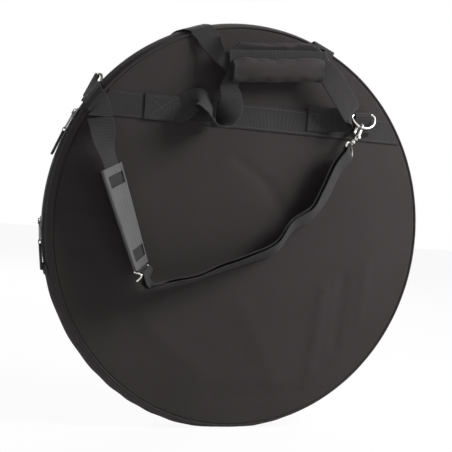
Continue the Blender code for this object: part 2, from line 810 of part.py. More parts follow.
ring_x = front_ring_shares[0] * panel_radius
ring_z = front_ring_shares[1] * panel_radius
ring_bar = off_front(ring_x, ring_z, ring_off)
strap_start = at(strap_start_shares[0] * panel_radius, ring_bar[1], strap_start_shares[1] * panel_radius)
swing_axis = unit(ring_bar - strap_start)
hang = np.cross(swing_axis, outward)
hang = hang * -np.sign(hang[2])
ring_droop = unit(hang * math.cos(ring_tilt) + outward * math.sin(ring_tilt))
strap_pivot = pivot("shoulder_strap", ring_bar)
ring_pivot = pivot("front_d_ring_swing", ring_bar)
piece("front_d_ring", ring_loop(ring_bar, swing_axis, ring_droop), nickel, ring_pivot)
front_toward = along_face(ring_x, ring_z, hang, outward)
piece("front_d_ring_chape", chape(ring_bar, swing_axis, front_toward, outward), webbing_grey, cover_pivot)

# The hook hangs where the bow of the ring lies square to the pull of the strap
front_pull = unit(strap_pull_heading)
bow_turn = math.atan2(np.dot(front_pull, ring_droop) * (ring_bow - 2 * wire_radius),
                      np.dot(front_pull, swing_axis) * ring_half)
hang_point = ring_bar + swing_axis * ring_half * math.cos(bow_turn) + ring_droop * (
    2 * wire_radius + (ring_bow - 2 * wire_radius) * math.sin(bow_turn))
bow_tangent = unit(-swing_axis * ring_half * math.sin(bow_turn)
                   + ring_droop * (ring_bow - 2 * wire_radius) * math.cos(bow_turn))
front_pull = unit(front_pull - bow_tangent * np.dot(front_pull, bow_tangent))
hook_centre = hang_point + front_pull * (hook_inner - wire_radius - fit_gap)
bolt_side = np.cross(front_pull, bow_tangent)
bolt_side = bolt_side * np.sign(np.dot(bolt_side, outward))
front_axes = (front_pull, bolt_side, np.cross(front_pull, bolt_side))
hook_pivot = pivot("front_hook_body", hook_centre)
carry(hook_pivot, strap_pivot)
bolt_pivot = pivot("front_hook_bolt_slide", hook_centre)
carry(bolt_pivot, hook_pivot)
swivel_hook("front_hook", hook_centre, front_axes, hook_pivot, bolt_pivot)

# Strap from the left rim to the hook's eye, round it and back to the adjuster
strap_depth = rim_depth + panel_crown + pad_width / 2 * math.cos(strap_turn) + pad_clear
strap_facing = strap_side * math.sin(strap_turn) + outward * math.cos(strap_turn)
strap_normal = np.cross(strap_heading, strap_facing)
pad_top = at(pad_top_shares[0] * panel_radius, -strap_depth, pad_top_shares[1] * panel_radius)
bar_radius = 0.0015
adjuster_half = 0.0065
adjuster_place = pad_top + strap_heading * (pad_length + adjuster_half + bar_radius + fit_gap)
edge_on = np.array((-math.sin(edge_turn), -math.cos(edge_turn), 0))
eye_bar = hook_centre + front_pull * eye_reach
eye_wide = unit(edge_on - front_pull * np.dot(edge_on, front_pull))
piece("front_hook_eye", hook_eye(hook_centre, front_pull, eye_wide), nickel, strap_pivot)

# Below the adjuster each station is a share of the way to the eye, a stand-off in shares of the
# webbing's width, and a drop below the straight line in shares of the way across
lower_shares = ((0.0165, 0.08, 0.0349), (0.0575, 0.18, 0.0682), (0.114, 0.18, 0.0912),
                (0.2391, 0.08, 0.1515), (0.3634, 0, 0.1864), (0.4876, 0, 0.2222), (0.6514, 0, 0.2586),
                (0.7324, 0, 0.2038), (0.835, 0, 0.2027), (0.8971, 0, 0.1448), (0.9526, 0, 0.0544))
eye_turn = wire_radius + fit_gap + webbing_thickness / 2
layer_step = webbing_thickness + 2 * fit_gap
layer_shares = (2.0, 2.0, 1.9, 1.7, 2.2, 2.2, 1.9, 1.7, 2.2, 2.2, 2.6)
straight_bars = 3
bar_exit_share = 3.5

bar_turn = bar_radius + fit_gap + webbing_thickness / 2
bar_stand = 3 * webbing_thickness / 2 + 2 * fit_gap + bar_radius
centre_bar = adjuster_place - strap_normal * bar_stand


def strap_stations():
    """Stations down the strap, round the eye and back along its second layer."""
    lead_across = strap_side * math.sin(lead_turn) + outward * math.cos(lead_turn)
    lead_end = pad_top - strap_heading * pad_travel
    lead_start = strap_start + np.array((0, 0, -1)) * webbing_thickness
    down = [(lead_start, lead_across), ((lead_start * 2 + lead_end) / 3 + outward * pad_clear, lead_across),
            (lead_end, strap_facing), (pad_top, strap_facing)]
    down.append((pad_top + strap_heading * pad_length / 2, strap_facing))
    down.append((adjuster_place, strap_facing))
    straight_end = adjuster_place + strap_heading * (adjuster_half + straight_bars * bar_radius)
    down.append((straight_end, strap_facing))
    way = (eye_bar - straight_end) * (1, 0, 1)
    start = straight_end * (1, 0, 1) + outward * strap_depth
    outer = []
    for along, off, drop in lower_shares:
        below = np.array((0, -off * webbing_width, -drop * way[0]))
        outer.append(start + way * along + below)
    along = unit(np.gradient(np.array([down[-1][0]] + outer + [eye_bar]), axis=0))[1:-1]
    across = unit(edge_on - along * (along @ edge_on)[:, None])
    normal = np.cross(along, across)
    outer_layer = list(zip(outer, across))
    inner = [point - side * layer_step * share for point, side, share in zip(outer, normal, layer_shares)]
    side = np.cross(-front_pull, eye_wide)
    turn = [(eye_bar + eye_turn * (side + 2 * front_pull), eye_wide)]
    for sweep in np.linspace(0, math.pi, 7):
        turn.append((eye_bar + eye_turn * (side * math.cos(sweep) - front_pull * math.sin(sweep)), eye_wide))
    turn.append((eye_bar + eye_turn * (2 * front_pull - side), eye_wide))
    back = list(zip(inner, across))[::-1]
    last = [(centre_bar + bar_turn * (2 * strap_heading - strap_normal), strap_facing)]
    for sweep in np.linspace(0, math.pi, 6):
        spot = centre_bar - bar_turn * (strap_normal * math.cos(sweep) + strap_heading * math.sin(sweep))
        last.append((spot, strap_facing))
    last.append((centre_bar + bar_turn * (strap_heading + strap_normal), strap_facing))
    last.append((centre_bar + bar_turn * (bar_exit_share * strap_heading + strap_normal), strap_facing))
    return down + outer_layer + turn + back + last


piece("strap_front", strap_through(strap_stations(), 230), webbing_grey, strap_pivot)

# Over the left rim the strap lies on the cover; it swings from just below the rim
rim_stations = over_rim(strap_angle, strap_drift, -1)
rim_end = strap_start + np.array((0, 0, 1)) * fit_gap
rim_stations.append((rim_end, outward * math.cos(lead_turn) - np.array((math.sin(lead_turn), 0, 0))))
piece("strap_over_rim", strap_through(rim_stations, 22, square=False), webbing_grey, cover_pivot)

# Adjuster: a bowed slide whose end bars lie behind the strap and whose middle bar lies before it
slide_shares = (-1, -0.5, 0, 0.5, 1)
cross_bar_share = 0.95
rail_out = webbing_width / 2 + fit_gap + bar_radius
end_bar_stand = webbing_thickness / 2 + 4 * fit_gap + bar_radius
adjuster_axes = (strap_heading, strap_facing, -strap_normal)


def adjuster():
    """Wire slide with two rails and three bars."""
    stands = (-end_bar_stand, bar_stand / 2, bar_stand, bar_stand / 2, -end_bar_stand)
    spots = list(zip(slide_shares, stands))
    frame = None
    for out in (-rail_out, rail_out):
        rail = tube(local(adjuster_place, adjuster_axes, *[(adjuster_half * s, out, o) for s, o in spots]),
                    bar_radius, strap_facing)
        frame = combined(frame, rail, "UNION") if frame else rail
    for along, stand in (spots[0], spots[2], spots[4]):
        ends = [(adjuster_half * along, share * rail_out, stand) for share in (-1, 0, 1)]
        bar = tube(local(adjuster_place, adjuster_axes, *ends), cross_bar_share * bar_radius, strap_heading)
        frame = combined(frame, bar, "UNION")
    return frame


piece("strap_adjuster", adjuster(), nickel, strap_pivot)

# Shoulder pad: a ribbed sleeve on the strap with an open window near each end
pad_front = 0.0031
pad_rib = 0.0009
pad_back = 0.0032
rib_count = 6
tunnel_spare = 0.0010
pad_station_shares = ((0, 0.96), (0.015, 1), (0.985, 1), (1, 0.96))
window_length = 0.018
window_share = 0.135


def shoulder_pad():
    """Sleeve with its tunnel and windows cut out."""
    half = pad_width / 2
    edge = pad_front / 2
    outline = [(-half, -edge), (edge - half, -pad_back), (half - edge, -pad_back), (half, -edge), (half, edge)]
    for index, across in enumerate(np.linspace(half - edge, edge - half, 2 * rib_count + 1)):
        outline.append((across, pad_front + pad_rib * (index % 2)))
    outline.append((-half, edge))
    rings = []
    for along, pinch in pad_station_shares:
        spots = [(pad_length * along, wide * pinch, high * pinch) for wide, high in outline]
        rings.append(local(pad_top, adjuster_axes, *spots))
    tunnel_out = webbing_width / 2 + tunnel_spare
    tunnel_high = webbing_thickness / 2 + tunnel_spare / 2
    sleeve = combined(loft(rings), box(pad_top, adjuster_axes, (-pad_clear, -tunnel_out, -tunnel_high),
                                       (pad_length + pad_clear, tunnel_out, tunnel_high)), "DIFFERENCE")
    for share in (window_share, 1 - window_share):
        middle = pad_length * share
        window = box(pad_top, adjuster_axes, (middle - window_length / 2, -webbing_width / 2, 0),
                     (middle + window_length / 2, webbing_width / 2, 2 * pad_front))
        sleeve = combined(sleeve, window, "DIFFERENCE")
    return sleeve


pad_pivot = pivot("shoulder_pad_slide", pad_top)
carry(pad_pivot, strap_pivot)
piece("shoulder_pad", shoulder_pad(), pad_rubber, pad_pivot, smooth=False)

# Behind the bag the strap's other end holds a second hook on a second ring
behind = np.array((0, 1, 0))
rear_level = np.array((math.cos(rear_heading), 0, math.sin(rear_heading)))
rear_wide = np.cross(rear_level, behind)
rear_wide = rear_wide * -np.sign(rear_wide[2])
rear_x = rear_ring_shares[0] * panel_radius
rear_z = rear_ring_shares[1] * panel_radius
rear_bar = off_back(rear_x, rear_z, ring_off)
rear_droop = rear_level * math.cos(rear_tilt) + behind * math.sin(rear_tilt)
rear_pull = unit(rear_level - behind * math.sin(rear_tilt) * rear_sink_share)
rear_centre = rear_bar + rear_droop * ring_bow + rear_pull * (hook_inner - wire_radius - fit_gap)
rear_eye_bar = rear_centre + rear_pull * eye_reach
rear_side = unit(behind - rear_pull * np.dot(behind, rear_pull))
rear_axes = (rear_pull, rear_side, np.cross(rear_pull, rear_side))
rear_ring_pivot = pivot("rear_d_ring_swing", rear_bar)
rear_hook_pivot = pivot("rear_hook_body", rear_centre)
rear_bolt_pivot = pivot("rear_hook_bolt_slide", rear_centre)
carry(rear_bolt_pivot, rear_hook_pivot)
rear_toward = along_face(rear_x, rear_z, -rear_level, behind)
piece("rear_d_ring", ring_loop(rear_bar, rear_wide, rear_droop), nickel, rear_ring_pivot)
piece("rear_d_ring_chape", chape(rear_bar, rear_wide, rear_toward, behind), webbing_grey)
swivel_hook("rear_hook", rear_centre, rear_axes, rear_hook_pivot, rear_bolt_pivot)
piece("rear_hook_eye", hook_eye(rear_centre, rear_pull, rear_wide), nickel)


def strap_back():
    """Rear end of the shoulder strap: from the zip plane over the rim and round the rear eye."""
    turn = strap_angle + strap_drift
    tangent = np.array((-math.sin(turn), 0, math.cos(turn)))
    stations = [(rim_point(rim_over, turn, fit_gap), tangent), (rim_point(rim_over, turn, hem_offset), tangent)]
    stations.append((rear_eye_bar + eye_turn * (rear_level - 2 * behind), rear_wide))
    for sweep in np.linspace(0, math.pi, 7):
        spot = rear_eye_bar + eye_turn * (rear_level * math.cos(sweep) + behind * math.sin(sweep))
        stations.append((spot, rear_wide))
    for level, deep in rear_tail_end_shares:
        stations.append((rear_eye_bar - eye_turn * (rear_level * level + behind * deep), rear_wide))
    return strap_through(stations, 60, square=False)


piece("strap_back", strap_back(), webbing_grey)

# Zip sliders, their pulls and the fabric tags tied to the pulls
upper_slider_angle = math.radians(151.2)
lower_slider_angle = math.radians(181.7)
slider_half = 0.0075
slider_front = 0.0052
slider_plate = 0.0014
slider_clear = 0.0004
slider_bottom = 0.0012
slider_neck = 0.0008
crown_half = 0.0047
crown_width = 0.0028
crown_wall = 0.0013
crown_rise = 0.0040
under_plate_share = 0.8
neck_share = 0.75
lip_share = 0.9
pull_length = 0.030
pull_width = 0.0080
pull_thickness = 0.0014
pull_end = 0.0010
pull_window_end = 0.0080
pull_window_half = 0.0022
pull_lean = math.radians(2.5)
tag_length = 0.038
tag_width = 0.0080
tag_thickness = 0.0025
tag_lean = math.radians(6)
cord_radius = 0.0006
slider_top = coil_top + slider_clear + slider_plate


def rim_axes(angle, lean=0.0):
    """Directions at a place on the rim: along it, outwards and to the back."""
    turn = angle + lean
    return (np.array((-math.sin(turn), 0, math.cos(turn))), np.array((math.cos(turn), 0, math.sin(turn))),
            np.array((0, 1, 0)))


def slider(angle):
    """Slider: a plate over the coils, a plate under the tapes, the neck between them and a crown on top."""
    axes = rim_axes(angle)
    centre = rim_point(0, 0, 0)
    under = tape_inner - slider_clear
    top = box(centre, axes, (-slider_half, slider_top - slider_plate, -slider_front),
              (slider_half, slider_top, slider_front + slider_clear))
    low = box(centre, axes, (-under_plate_share * slider_half, under - slider_bottom, -slider_front),
              (under_plate_share * slider_half, under, slider_front))
    neck = box(centre, axes, (slider_half / 2, under - slider_bottom / 2, -slider_neck / 2),
               (neck_share * slider_half, slider_top - slider_plate / 2, slider_neck / 2))
    lip = box(centre, axes, (-lip_share * slider_half, coil_base + slider_plate, coil_far + slider_clear),
              (lip_share * slider_half, slider_top - slider_plate / 2, slider_front + slider_clear / 2))
    arch = box(centre, axes, (-crown_half, slider_top - slider_plate / 2, -crown_width / 2),
               (crown_half, slider_top + crown_rise, crown_width / 2))
    hole = box(centre, axes, (crown_wall - crown_half, slider_top, -crown_width),
               (crown_half - crown_wall, slider_top + crown_rise - crown_wall, crown_width))
    body = combined(top, neck, "UNION")
    for extra in (low, lip, combined(arch, hole, "DIFFERENCE")):
        body = combined(body, extra, "UNION")
    return body


pull_height = slider_top + (crown_rise - crown_wall) / 2
pull_hole_from_end = 0.0038
pull_hole_radius = 0.0015
pull_hole_place = pull_length - pull_hole_from_end
pull_shares = ((0.3, 0.48), (0.85, 0.36), (0.95, 0.30))
pull_end_shares = (0.46, 0.5, 0.17)
pull_shoulder_share = 0.6


def pull_at(angle):
    """Middle of the bar by which a pull hangs in its slider's crown."""
    return rim_point(pull_height, angle, 0)


def pull(angle):
    """Flat tapering pull with a window round the crown's leg and a hole for the tag's cord."""
    axes = rim_axes(angle, pull_lean)
    bar = pull_at(angle)
    top, shoulder, tip = pull_end_shares
    stations = [(-pull_end, top), (-pull_shoulder_share * pull_end, shoulder)]
    stations += [(pull_length * along, wide) for along, wide in pull_shares] + [(pull_length - pull_end, tip)]
    rings = []
    for along, wide in stations:
        half = pull_width * wide
        rings.append(local(bar, axes, (along, -pull_thickness / 2, -half), (along, -pull_thickness / 2, half),
                           (along, pull_thickness / 2, half), (along, pull_thickness / 2, -half)))
    window = box(bar, axes, (pull_end, -pull_thickness, -pull_window_half),
                 (pull_window_end, pull_thickness, pull_window_half))
    plate = combined(loft(rings), window, "DIFFERENCE")
    hole = local(bar, axes, (pull_hole_place, -pull_thickness, 0), (pull_hole_place, 0, 0),
                 (pull_hole_place, pull_thickness, 0))
    return combined(plate, tube(hole, pull_hole_radius, axes[2]), "DIFFERENCE")


def tag_frame(angle):
    """Hinge point of a tag, in the pull's hole, and the tag's own directions."""
    along = rim_axes(angle, pull_lean)[0]
    hinge = pull_at(angle) + along * (pull_hole_place + pull_hole_radius / 2)
    return hinge, rim_axes(angle, tag_lean)


loop_long = 0.0031
loop_high = 0.0022
loop_steps = 20
tag_bevel = 0.001
tag_end_share = 0.40


def tag(angle):
    """Fabric tag with the small cord loop that ties it to the pull."""
    hinge, axes = tag_frame(angle)
    loop = [(loop_long * (1 + math.cos(turn)) - cord_radius, loop_high * math.sin(turn), 0)
            for turn in np.arange(loop_steps) * math.tau / loop_steps]
    cord = tube(local(hinge, axes, *loop), cord_radius, axes[2], around=True)
    start = 2 * loop_long - 2 * cord_radius
    rings = []
    last = start + tag_length
    for along, wide in ((start, tag_end_share), (start + tag_bevel, 1 / 2), (last - tag_bevel, 1 / 2),
                        (last, tag_end_share)):
        half = tag_width * wide
        high = tag_thickness / 2
        rings.append(local(hinge, axes, (along, -high, -half), (along, -high, half),
                           (along, high, half), (along, high, -half)))
    return combined(loft(rings), cord, "UNION")


for name, angle in (("upper", upper_slider_angle), ("lower", lower_slider_angle)):
    slider_pivot = pivot(name + "_slider_travel", at(0, 0, 0))
    pull_pivot = pivot(name + "_pull_swing", pull_at(angle))
    tag_pivot = pivot(name + "_tag_swing", tag_frame(angle)[0])
    carry(pull_pivot, slider_pivot)
    carry(tag_pivot, pull_pivot)
    piece(name + "_slider", slider(angle), slider_metal, slider_pivot, smooth=False)
    piece(name + "_pull", pull(angle), slider_metal, pull_pivot)
    piece(name + "_tag", tag(angle), charcoal, tag_pivot, smooth=False)
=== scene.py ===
"""Round padded cymbal bag: its fabrics, webbing and metal parts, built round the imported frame.

X is to the right, Y to the back, Z up, and the front cover faces -Y. All lengths are in metres.
"""
import json
import math

import bmesh
import bpy
import numpy as np
from mathutils import Matrix, Vector

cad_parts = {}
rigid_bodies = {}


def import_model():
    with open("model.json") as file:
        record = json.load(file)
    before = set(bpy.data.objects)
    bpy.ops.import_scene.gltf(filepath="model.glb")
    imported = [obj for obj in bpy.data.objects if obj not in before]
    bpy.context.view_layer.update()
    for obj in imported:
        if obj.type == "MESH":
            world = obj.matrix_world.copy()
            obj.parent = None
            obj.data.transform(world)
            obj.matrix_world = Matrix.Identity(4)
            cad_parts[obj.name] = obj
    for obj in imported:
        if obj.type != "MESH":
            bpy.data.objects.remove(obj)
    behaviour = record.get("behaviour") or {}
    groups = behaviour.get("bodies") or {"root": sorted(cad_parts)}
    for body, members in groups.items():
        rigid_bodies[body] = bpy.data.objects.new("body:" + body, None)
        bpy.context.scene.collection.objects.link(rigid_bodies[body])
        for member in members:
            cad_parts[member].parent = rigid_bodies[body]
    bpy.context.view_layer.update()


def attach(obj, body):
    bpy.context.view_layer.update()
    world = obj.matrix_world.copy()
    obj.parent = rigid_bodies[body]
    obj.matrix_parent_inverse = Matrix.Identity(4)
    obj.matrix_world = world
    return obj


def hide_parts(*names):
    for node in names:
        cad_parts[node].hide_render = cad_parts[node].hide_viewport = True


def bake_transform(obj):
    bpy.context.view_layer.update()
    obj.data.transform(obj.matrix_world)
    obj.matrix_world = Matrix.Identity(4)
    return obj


for thing in list(bpy.data.objects):
    bpy.data.objects.remove(thing, do_unlink=True)
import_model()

# The studio: a camera low on the left with a long lens, a pale floor that runs to white, and three
# windows: a small one near the bag on its right, a weak one on its left and a large one behind it.
image_width = 452
focal_pixels = 1208
camera_turn = math.radians(-25.03)
camera_rise = math.radians(2.04)
camera_roll = math.radians(4.64)
camera_distance = 1.829
aim = Vector((0, -0.023, 0.3045))
aim_right = 19.4
aim_below = 2.4

level_share = math.cos(camera_rise)
back = Vector((math.sin(camera_turn) * level_share, -math.cos(camera_turn) * level_share,
               math.sin(camera_rise)))
level_right = Vector((0, 0, 1)).cross(back).normalized()
level_up = back.cross(level_right)
rolled_right = level_right * math.cos(camera_roll) + level_up * math.sin(camera_roll)
rolled_up = level_up * math.cos(camera_roll) - level_right * math.sin(camera_roll)
camera_data = bpy.data.cameras.new("camera")
camera_data.lens = focal_pixels / image_width * camera_data.sensor_width
camera_data.shift_x = -aim_right / image_width
camera_data.shift_y = aim_below / image_width
camera = bpy.data.objects.new("camera", camera_data)
axes = Matrix((rolled_right, rolled_up, back)).transposed().to_4x4()
camera.matrix_world = Matrix.Translation(aim + back * camera_distance) @ axes
bpy.context.scene.collection.objects.link(camera)
bpy.context.scene.camera = camera
bpy.context.scene.view_settings.view_transform = "Standard"


def window_light(name, place, size, watts):
    """Square area light that faces the bag."""
    data = bpy.data.lights.new(name, "AREA")
    data.size = size
    data.energy = watts
    lamp = bpy.data.objects.new(name, data)
    turn = (Vector(place) - aim).to_track_quat("Z", "Y")
    lamp.matrix_world = Matrix.Translation(place) @ turn.to_matrix().to_4x4()
    bpy.context.scene.collection.objects.link(lamp)


window_light("key_window", (0.92, -0.62, 1.10), 0.5, 25)
window_light("left_window", (-2.2, -1.6, 1.6), 1.6, 6)
window_light("back_window", (0.6, 2.4, 1.8), 1.8, 45)

# The sky is white to the camera and in reflections, and lights the bag with a fifth of that.
sky_light = 0.20
world = bpy.data.worlds.new("sky")
world.use_nodes = True
sky = world.node_tree
path_rays = sky.nodes.new("ShaderNodeLightPath")
seen = path_rays.outputs["Is Camera Ray"]
for ray in ("Is Glossy Ray", "Is Transmission Ray"):
    either = sky.nodes.new("ShaderNodeMath")
    either.operation = "MAXIMUM"
    sky.links.new(seen, either.inputs[0])
    sky.links.new(path_rays.outputs[ray], either.inputs[1])
    seen = either.outputs[0]
strength = sky.nodes.new("ShaderNodeMix")
strength.inputs[2].default_value = sky_light
strength.inputs[3].default_value = 1.0
sky.links.new(seen, strength.inputs[0])
sky.nodes["Background"].inputs["Color"].default_value = (1, 1, 1, 1)
sky.links.new(strength.outputs[0], sky.nodes["Background"].inputs["Strength"])
bpy.context.scene.world = world

floor_half = 6.0
floor_mesh = bpy.data.meshes.new("floor")
floor_corners = [(x * floor_half, y * floor_half, 0) for x, y in ((-1, -1), (1, -1), (1, 1), (-1, 1))]
floor_mesh.from_pydata(floor_corners, [], [(0, 1, 2, 3)])
floor = bpy.data.objects.new("floor", floor_mesh)
bpy.context.scene.collection.objects.link(floor)


class Tone:
    """A number that varies over a surface. Python's operators on it add Math nodes to its material."""

    def __init__(self, finish, socket):
        self.finish = finish
        self.socket = socket

    def math(self, operation, *others):
        return self.finish.tone("ShaderNodeMath", {"operation": operation}, self, *others)

    def __add__(self, other):
        return self.math("ADD", other)

    def __sub__(self, other):
        return self.math("SUBTRACT", other)

    def __rsub__(self, other):
        return self.finish.tone("ShaderNodeMath", {"operation": "SUBTRACT"}, other, self)

    def __mul__(self, other):
        return self.math("MULTIPLY", other)

    def __truediv__(self, other):
        return self.math("DIVIDE", other)

    __radd__ = __add__
    __rmul__ = __mul__

    def sine(self):
        return self.math("SINE")

    def size(self):
        return self.math("ABSOLUTE")

    def within(self, low, high):
        """0 at low, 1 at high and level beyond them."""
        return self.finish.tone("ShaderNodeMapRange", {"clamp": True}, self, low, high, 0.0, 1.0)


class Finish:
    """One material. Any node comes from node(), which sets its settings first and then its sockets."""

    def __init__(self, name, roughness, **constants):
        self.material = bpy.data.materials.new(name)
        self.material.use_nodes = True
        self.tree = self.material.node_tree
        self.shader = self.tree.nodes["Principled BSDF"]
        self.shader.inputs["Roughness"].default_value = roughness
        for socket, value in constants.items():
            self.shader.inputs[socket.replace("_", " ")].default_value = value

    def feed(self, socket, value):
        if isinstance(value, Tone):
            value = value.socket
        if isinstance(value, bpy.types.NodeSocket):
            self.tree.links.new(value, socket)
        else:
            socket.default_value = value

    def node(self, kind, settings, *values, **named):
        made = self.tree.nodes.new(kind)
        for key, value in settings.items():
            setattr(made, key, value)
        for socket, value in zip(made.inputs, values):
            self.feed(socket, value)
        for key, value in named.items():
            self.feed(made.inputs[key.replace("_", " ")], value)
        return made

    def tone(self, kind, settings, *values, **named):
        return Tone(self, self.node(kind, settings, *values, **named).outputs[0])

    def places(self, source="Object"):
        """The three coordinates of the surface, from the object's own space or its UV map."""
        where = self.node("ShaderNodeTexCoord", {}).outputs[source]
        split = self.node("ShaderNodeSeparateXYZ", {}, where)
        return [Tone(self, socket) for socket in split.outputs]

    def speckle(self, scale, detail=2.0, source="Object", stretch=(1, 1, 1)):
        """Soft noise from 0 to 1, of that many blotches to the metre."""
        where = self.node("ShaderNodeTexCoord", {}).outputs[source]
        if stretch != (1, 1, 1):
            where = self.node("ShaderNodeVectorMath", {"operation": "MULTIPLY"}, where, stretch).outputs[0]
        return self.tone("ShaderNodeTexNoise", {}, Vector=where, Scale=scale, Detail=detail)

    def colours(self, share, dark, light):
        """Colour between two by a share from 0 to 1."""
        mix = self.node("ShaderNodeMix", {"data_type": "RGBA"}, share)
        self.feed(mix.inputs[6], (*dark, 1) if isinstance(dark, tuple) else dark)
        self.feed(mix.inputs[7], (*light, 1) if isinstance(light, tuple) else light)
        return mix.outputs[2]

    def wear(self, colour, roughness, height, depth, strength=1.0):
        """Feed the surface: its colour, its roughness and the height of its relief, depth metres deep."""
        self.feed(self.shader.inputs["Base Color"], colour)
        self.feed(self.shader.inputs["Roughness"], roughness)
        bump = self.node("ShaderNodeBump", {}, Strength=strength, Distance=depth, Height=height)
        self.tree.links.new(bump.outputs[0], self.shader.inputs["Normal"])


floor_roughness = 0.9
floor_relief = 0.0005
floor_white_share = 0.93
floor_finish = Finish("pale_floor", floor_roughness)
floor_grain = floor_finish.speckle(7.0)
floor_colour = floor_finish.colours(floor_grain, (0.80, 0.80, 0.80), (0.86, 0.86, 0.86))
floor_finish.wear(floor_colour, floor_roughness, floor_grain, floor_relief)
floor_rays = floor_finish.node("ShaderNodeLightPath", {}).outputs
floor_seen = Tone(floor_finish, floor_rays["Is Camera Ray"]).math("MAXIMUM", floor_rays["Is Glossy Ray"])
floor_white = floor_finish.node("ShaderNodeEmission", {}, (1, 1, 1, 1), 1.0)
floor_mix = floor_finish.node("ShaderNodeMixShader", {}, floor_seen * floor_white_share)
floor_output = floor_finish.tree.nodes["Material Output"]
floor_finish.tree.links.new(floor_finish.shader.outputs[0], floor_mix.inputs[1])
floor_finish.tree.links.new(floor_white.outputs[0], floor_mix.inputs[2])
floor_finish.tree.links.new(floor_mix.outputs[0], floor_output.inputs["Surface"])
floor_mesh.materials.append(floor_finish.material)

# The two round panels: closed-cell foam quilted between charcoal polyester outside and nylon inside.
# The front one is a single piece across the fold line.
panel_radius = 0.2990
half_depth = 0.0230
rest_height = 0.3045
fold_drop = 0.0680
panel_crown = 0.0050
panel_proud = 0.0012
panel_foam = 0.0080
edge_round = 0.0020
fit_gap = 0.0003
fold_softness = 0.0140
rim_depth = half_depth + panel_proud
inner_depth = rim_depth - panel_foam
fold_height = rest_height - fold_drop
cloth_pitch = 0.0007
cloth_relief = 0.00016
charcoal_dark = (0.0188, 0.0160, 0.0163)
charcoal_light = (0.0530, 0.0458, 0.0466)


def weave(finish, across, along, pitch):
    """Plain weave: on a checkerboard of that pitch, warp and weft arch over each other in turn."""
    place = finish.node("ShaderNodeCombineXYZ", {}, across / pitch, along / pitch, 0.5).outputs[0]
    board = Tone(finish, finish.node("ShaderNodeTexChecker", {}, Vector=place, Scale=1.0).outputs["Fac"])
    warp = (across * (math.pi / pitch)).sine().size()
    weft = (along * (math.pi / pitch)).sine().size()
    return warp * board + weft * (1 - board)


def polyester(name, source):
    """Matt woven cloth: a fine plain weave, faint streaks of the yarn and a dusty bloom in patches.

    It lies in X and Z of the object's own space, or in the two directions of its UV map.
    """
    finish = Finish(name, 0.8, Sheen_Weight=0.05, Sheen_Roughness=0.5, Specular_IOR_Level=0.08)
    x, y, z = finish.places(source)
    threads = weave(finish, x, y if source == "UV" else z, cloth_pitch)
    streaks = finish.speckle(900.0, 1.0, source, (1, 1, 0.06))
    patches = finish.speckle(9.0, 4.0, source)
    fluff = finish.speckle(260.0, 3.0, source)
    share = threads * 0.42 + streaks * 0.22 + patches * 0.26 + fluff * 0.18 - 0.06
    colour = finish.colours(share.within(0.0, 1.0), charcoal_dark, charcoal_light)
    finish.wear(colour, 0.74 + fluff * 0.16, threads * 0.7 + streaks * 0.3, cloth_relief, 0.9)
    return finish.material


charcoal = polyester("charcoal_polyester", "Object")
charcoal_wrapped = polyester("charcoal_polyester_wrapped", "UV")


def cells(grid, around, ends):
    """Quads of a grid of points, whose last column joins its first, and their corners' UV in metres.

    around joins the last row to the first too; otherwise the two end rows are capped if ends is true.
    """
    rows, columns = grid.shape[:2]
    row, column = np.meshgrid(np.arange(rows - (not around)), np.arange(columns), indexing="ij")
    steps = ((0, 0), (0, 1), (1, 1), (1, 0))
    corners = [(row + down) % rows * columns + (column + over) % columns for down, over in steps]
    faces = np.stack(corners, axis=-1).reshape(-1, 4).tolist()
    places = lengths(grid, around)
    loops = np.stack([places[row + down, column + over] for down, over in steps], axis=2).reshape(-1, 2)
    if ends and not around:
        faces += [list(range(columns)), list(range((rows - 1) * columns, rows * columns))]
        loops = np.concatenate((loops, places[0, :columns], places[-1, :columns]))
    return grid.reshape(-1, 3), faces, loops


def surface(name, grids, finish, body, replaced=(), around=False, ends=True):
    """One mesh from a grid of points, or from several that stay separate closed bodies."""
    grids = [grids] if isinstance(grids, np.ndarray) else grids
    points, faces, loops = [], [], []
    for grid in grids:
        spots, quads, places = cells(grid, around, ends)
        first = sum(len(each) for each in points)
        faces += [[first + corner for corner in quad] for quad in quads]
        points.append(spots)
        loops.append(places)
    mesh = bpy.data.meshes.new(name)
    mesh.from_pydata(np.concatenate(points).tolist(), [], faces)
    uv = np.concatenate(loops).astype(np.float32)
    mesh.uv_layers.new(name="lie").uv.foreach_set("vector", uv.ravel())
    return finished(name, mesh, finish, body, replaced)


def lengths(grid, around):
    """UV of a grid in metres: along its rows and across its columns, each by its mean arc length."""
    wide = np.concatenate((grid, grid[:, :1]), axis=1)
    long = np.concatenate((wide, wide[:1]), axis=0) if around else wide
    along = np.linalg.norm(np.diff(long, axis=0), axis=2).mean(axis=1)
    across = np.linalg.norm(np.diff(long, axis=1), axis=2).mean(axis=0)
    first = np.concatenate(([0], np.cumsum(along)))
    second = np.concatenate(([0], np.cumsum(across)))
    return np.stack(np.meshgrid(first, second, indexing="ij"), axis=-1)


merge_reach = 0.000002
thin_reach = merge_reach / 2
sharp_turn = math.radians(50)


def cleaned(mesh):
    """Merge the poles and seams of a mesh and face it outwards."""
    shape = bmesh.new()
    shape.from_mesh(mesh)
    bmesh.ops.remove_doubles(shape, verts=shape.verts, dist=merge_reach)
    bmesh.ops.dissolve_degenerate(shape, dist=thin_reach, edges=shape.edges)
    bmesh.ops.recalc_face_normals(shape, faces=shape.faces)
    shape.to_mesh(mesh)
    shape.free()


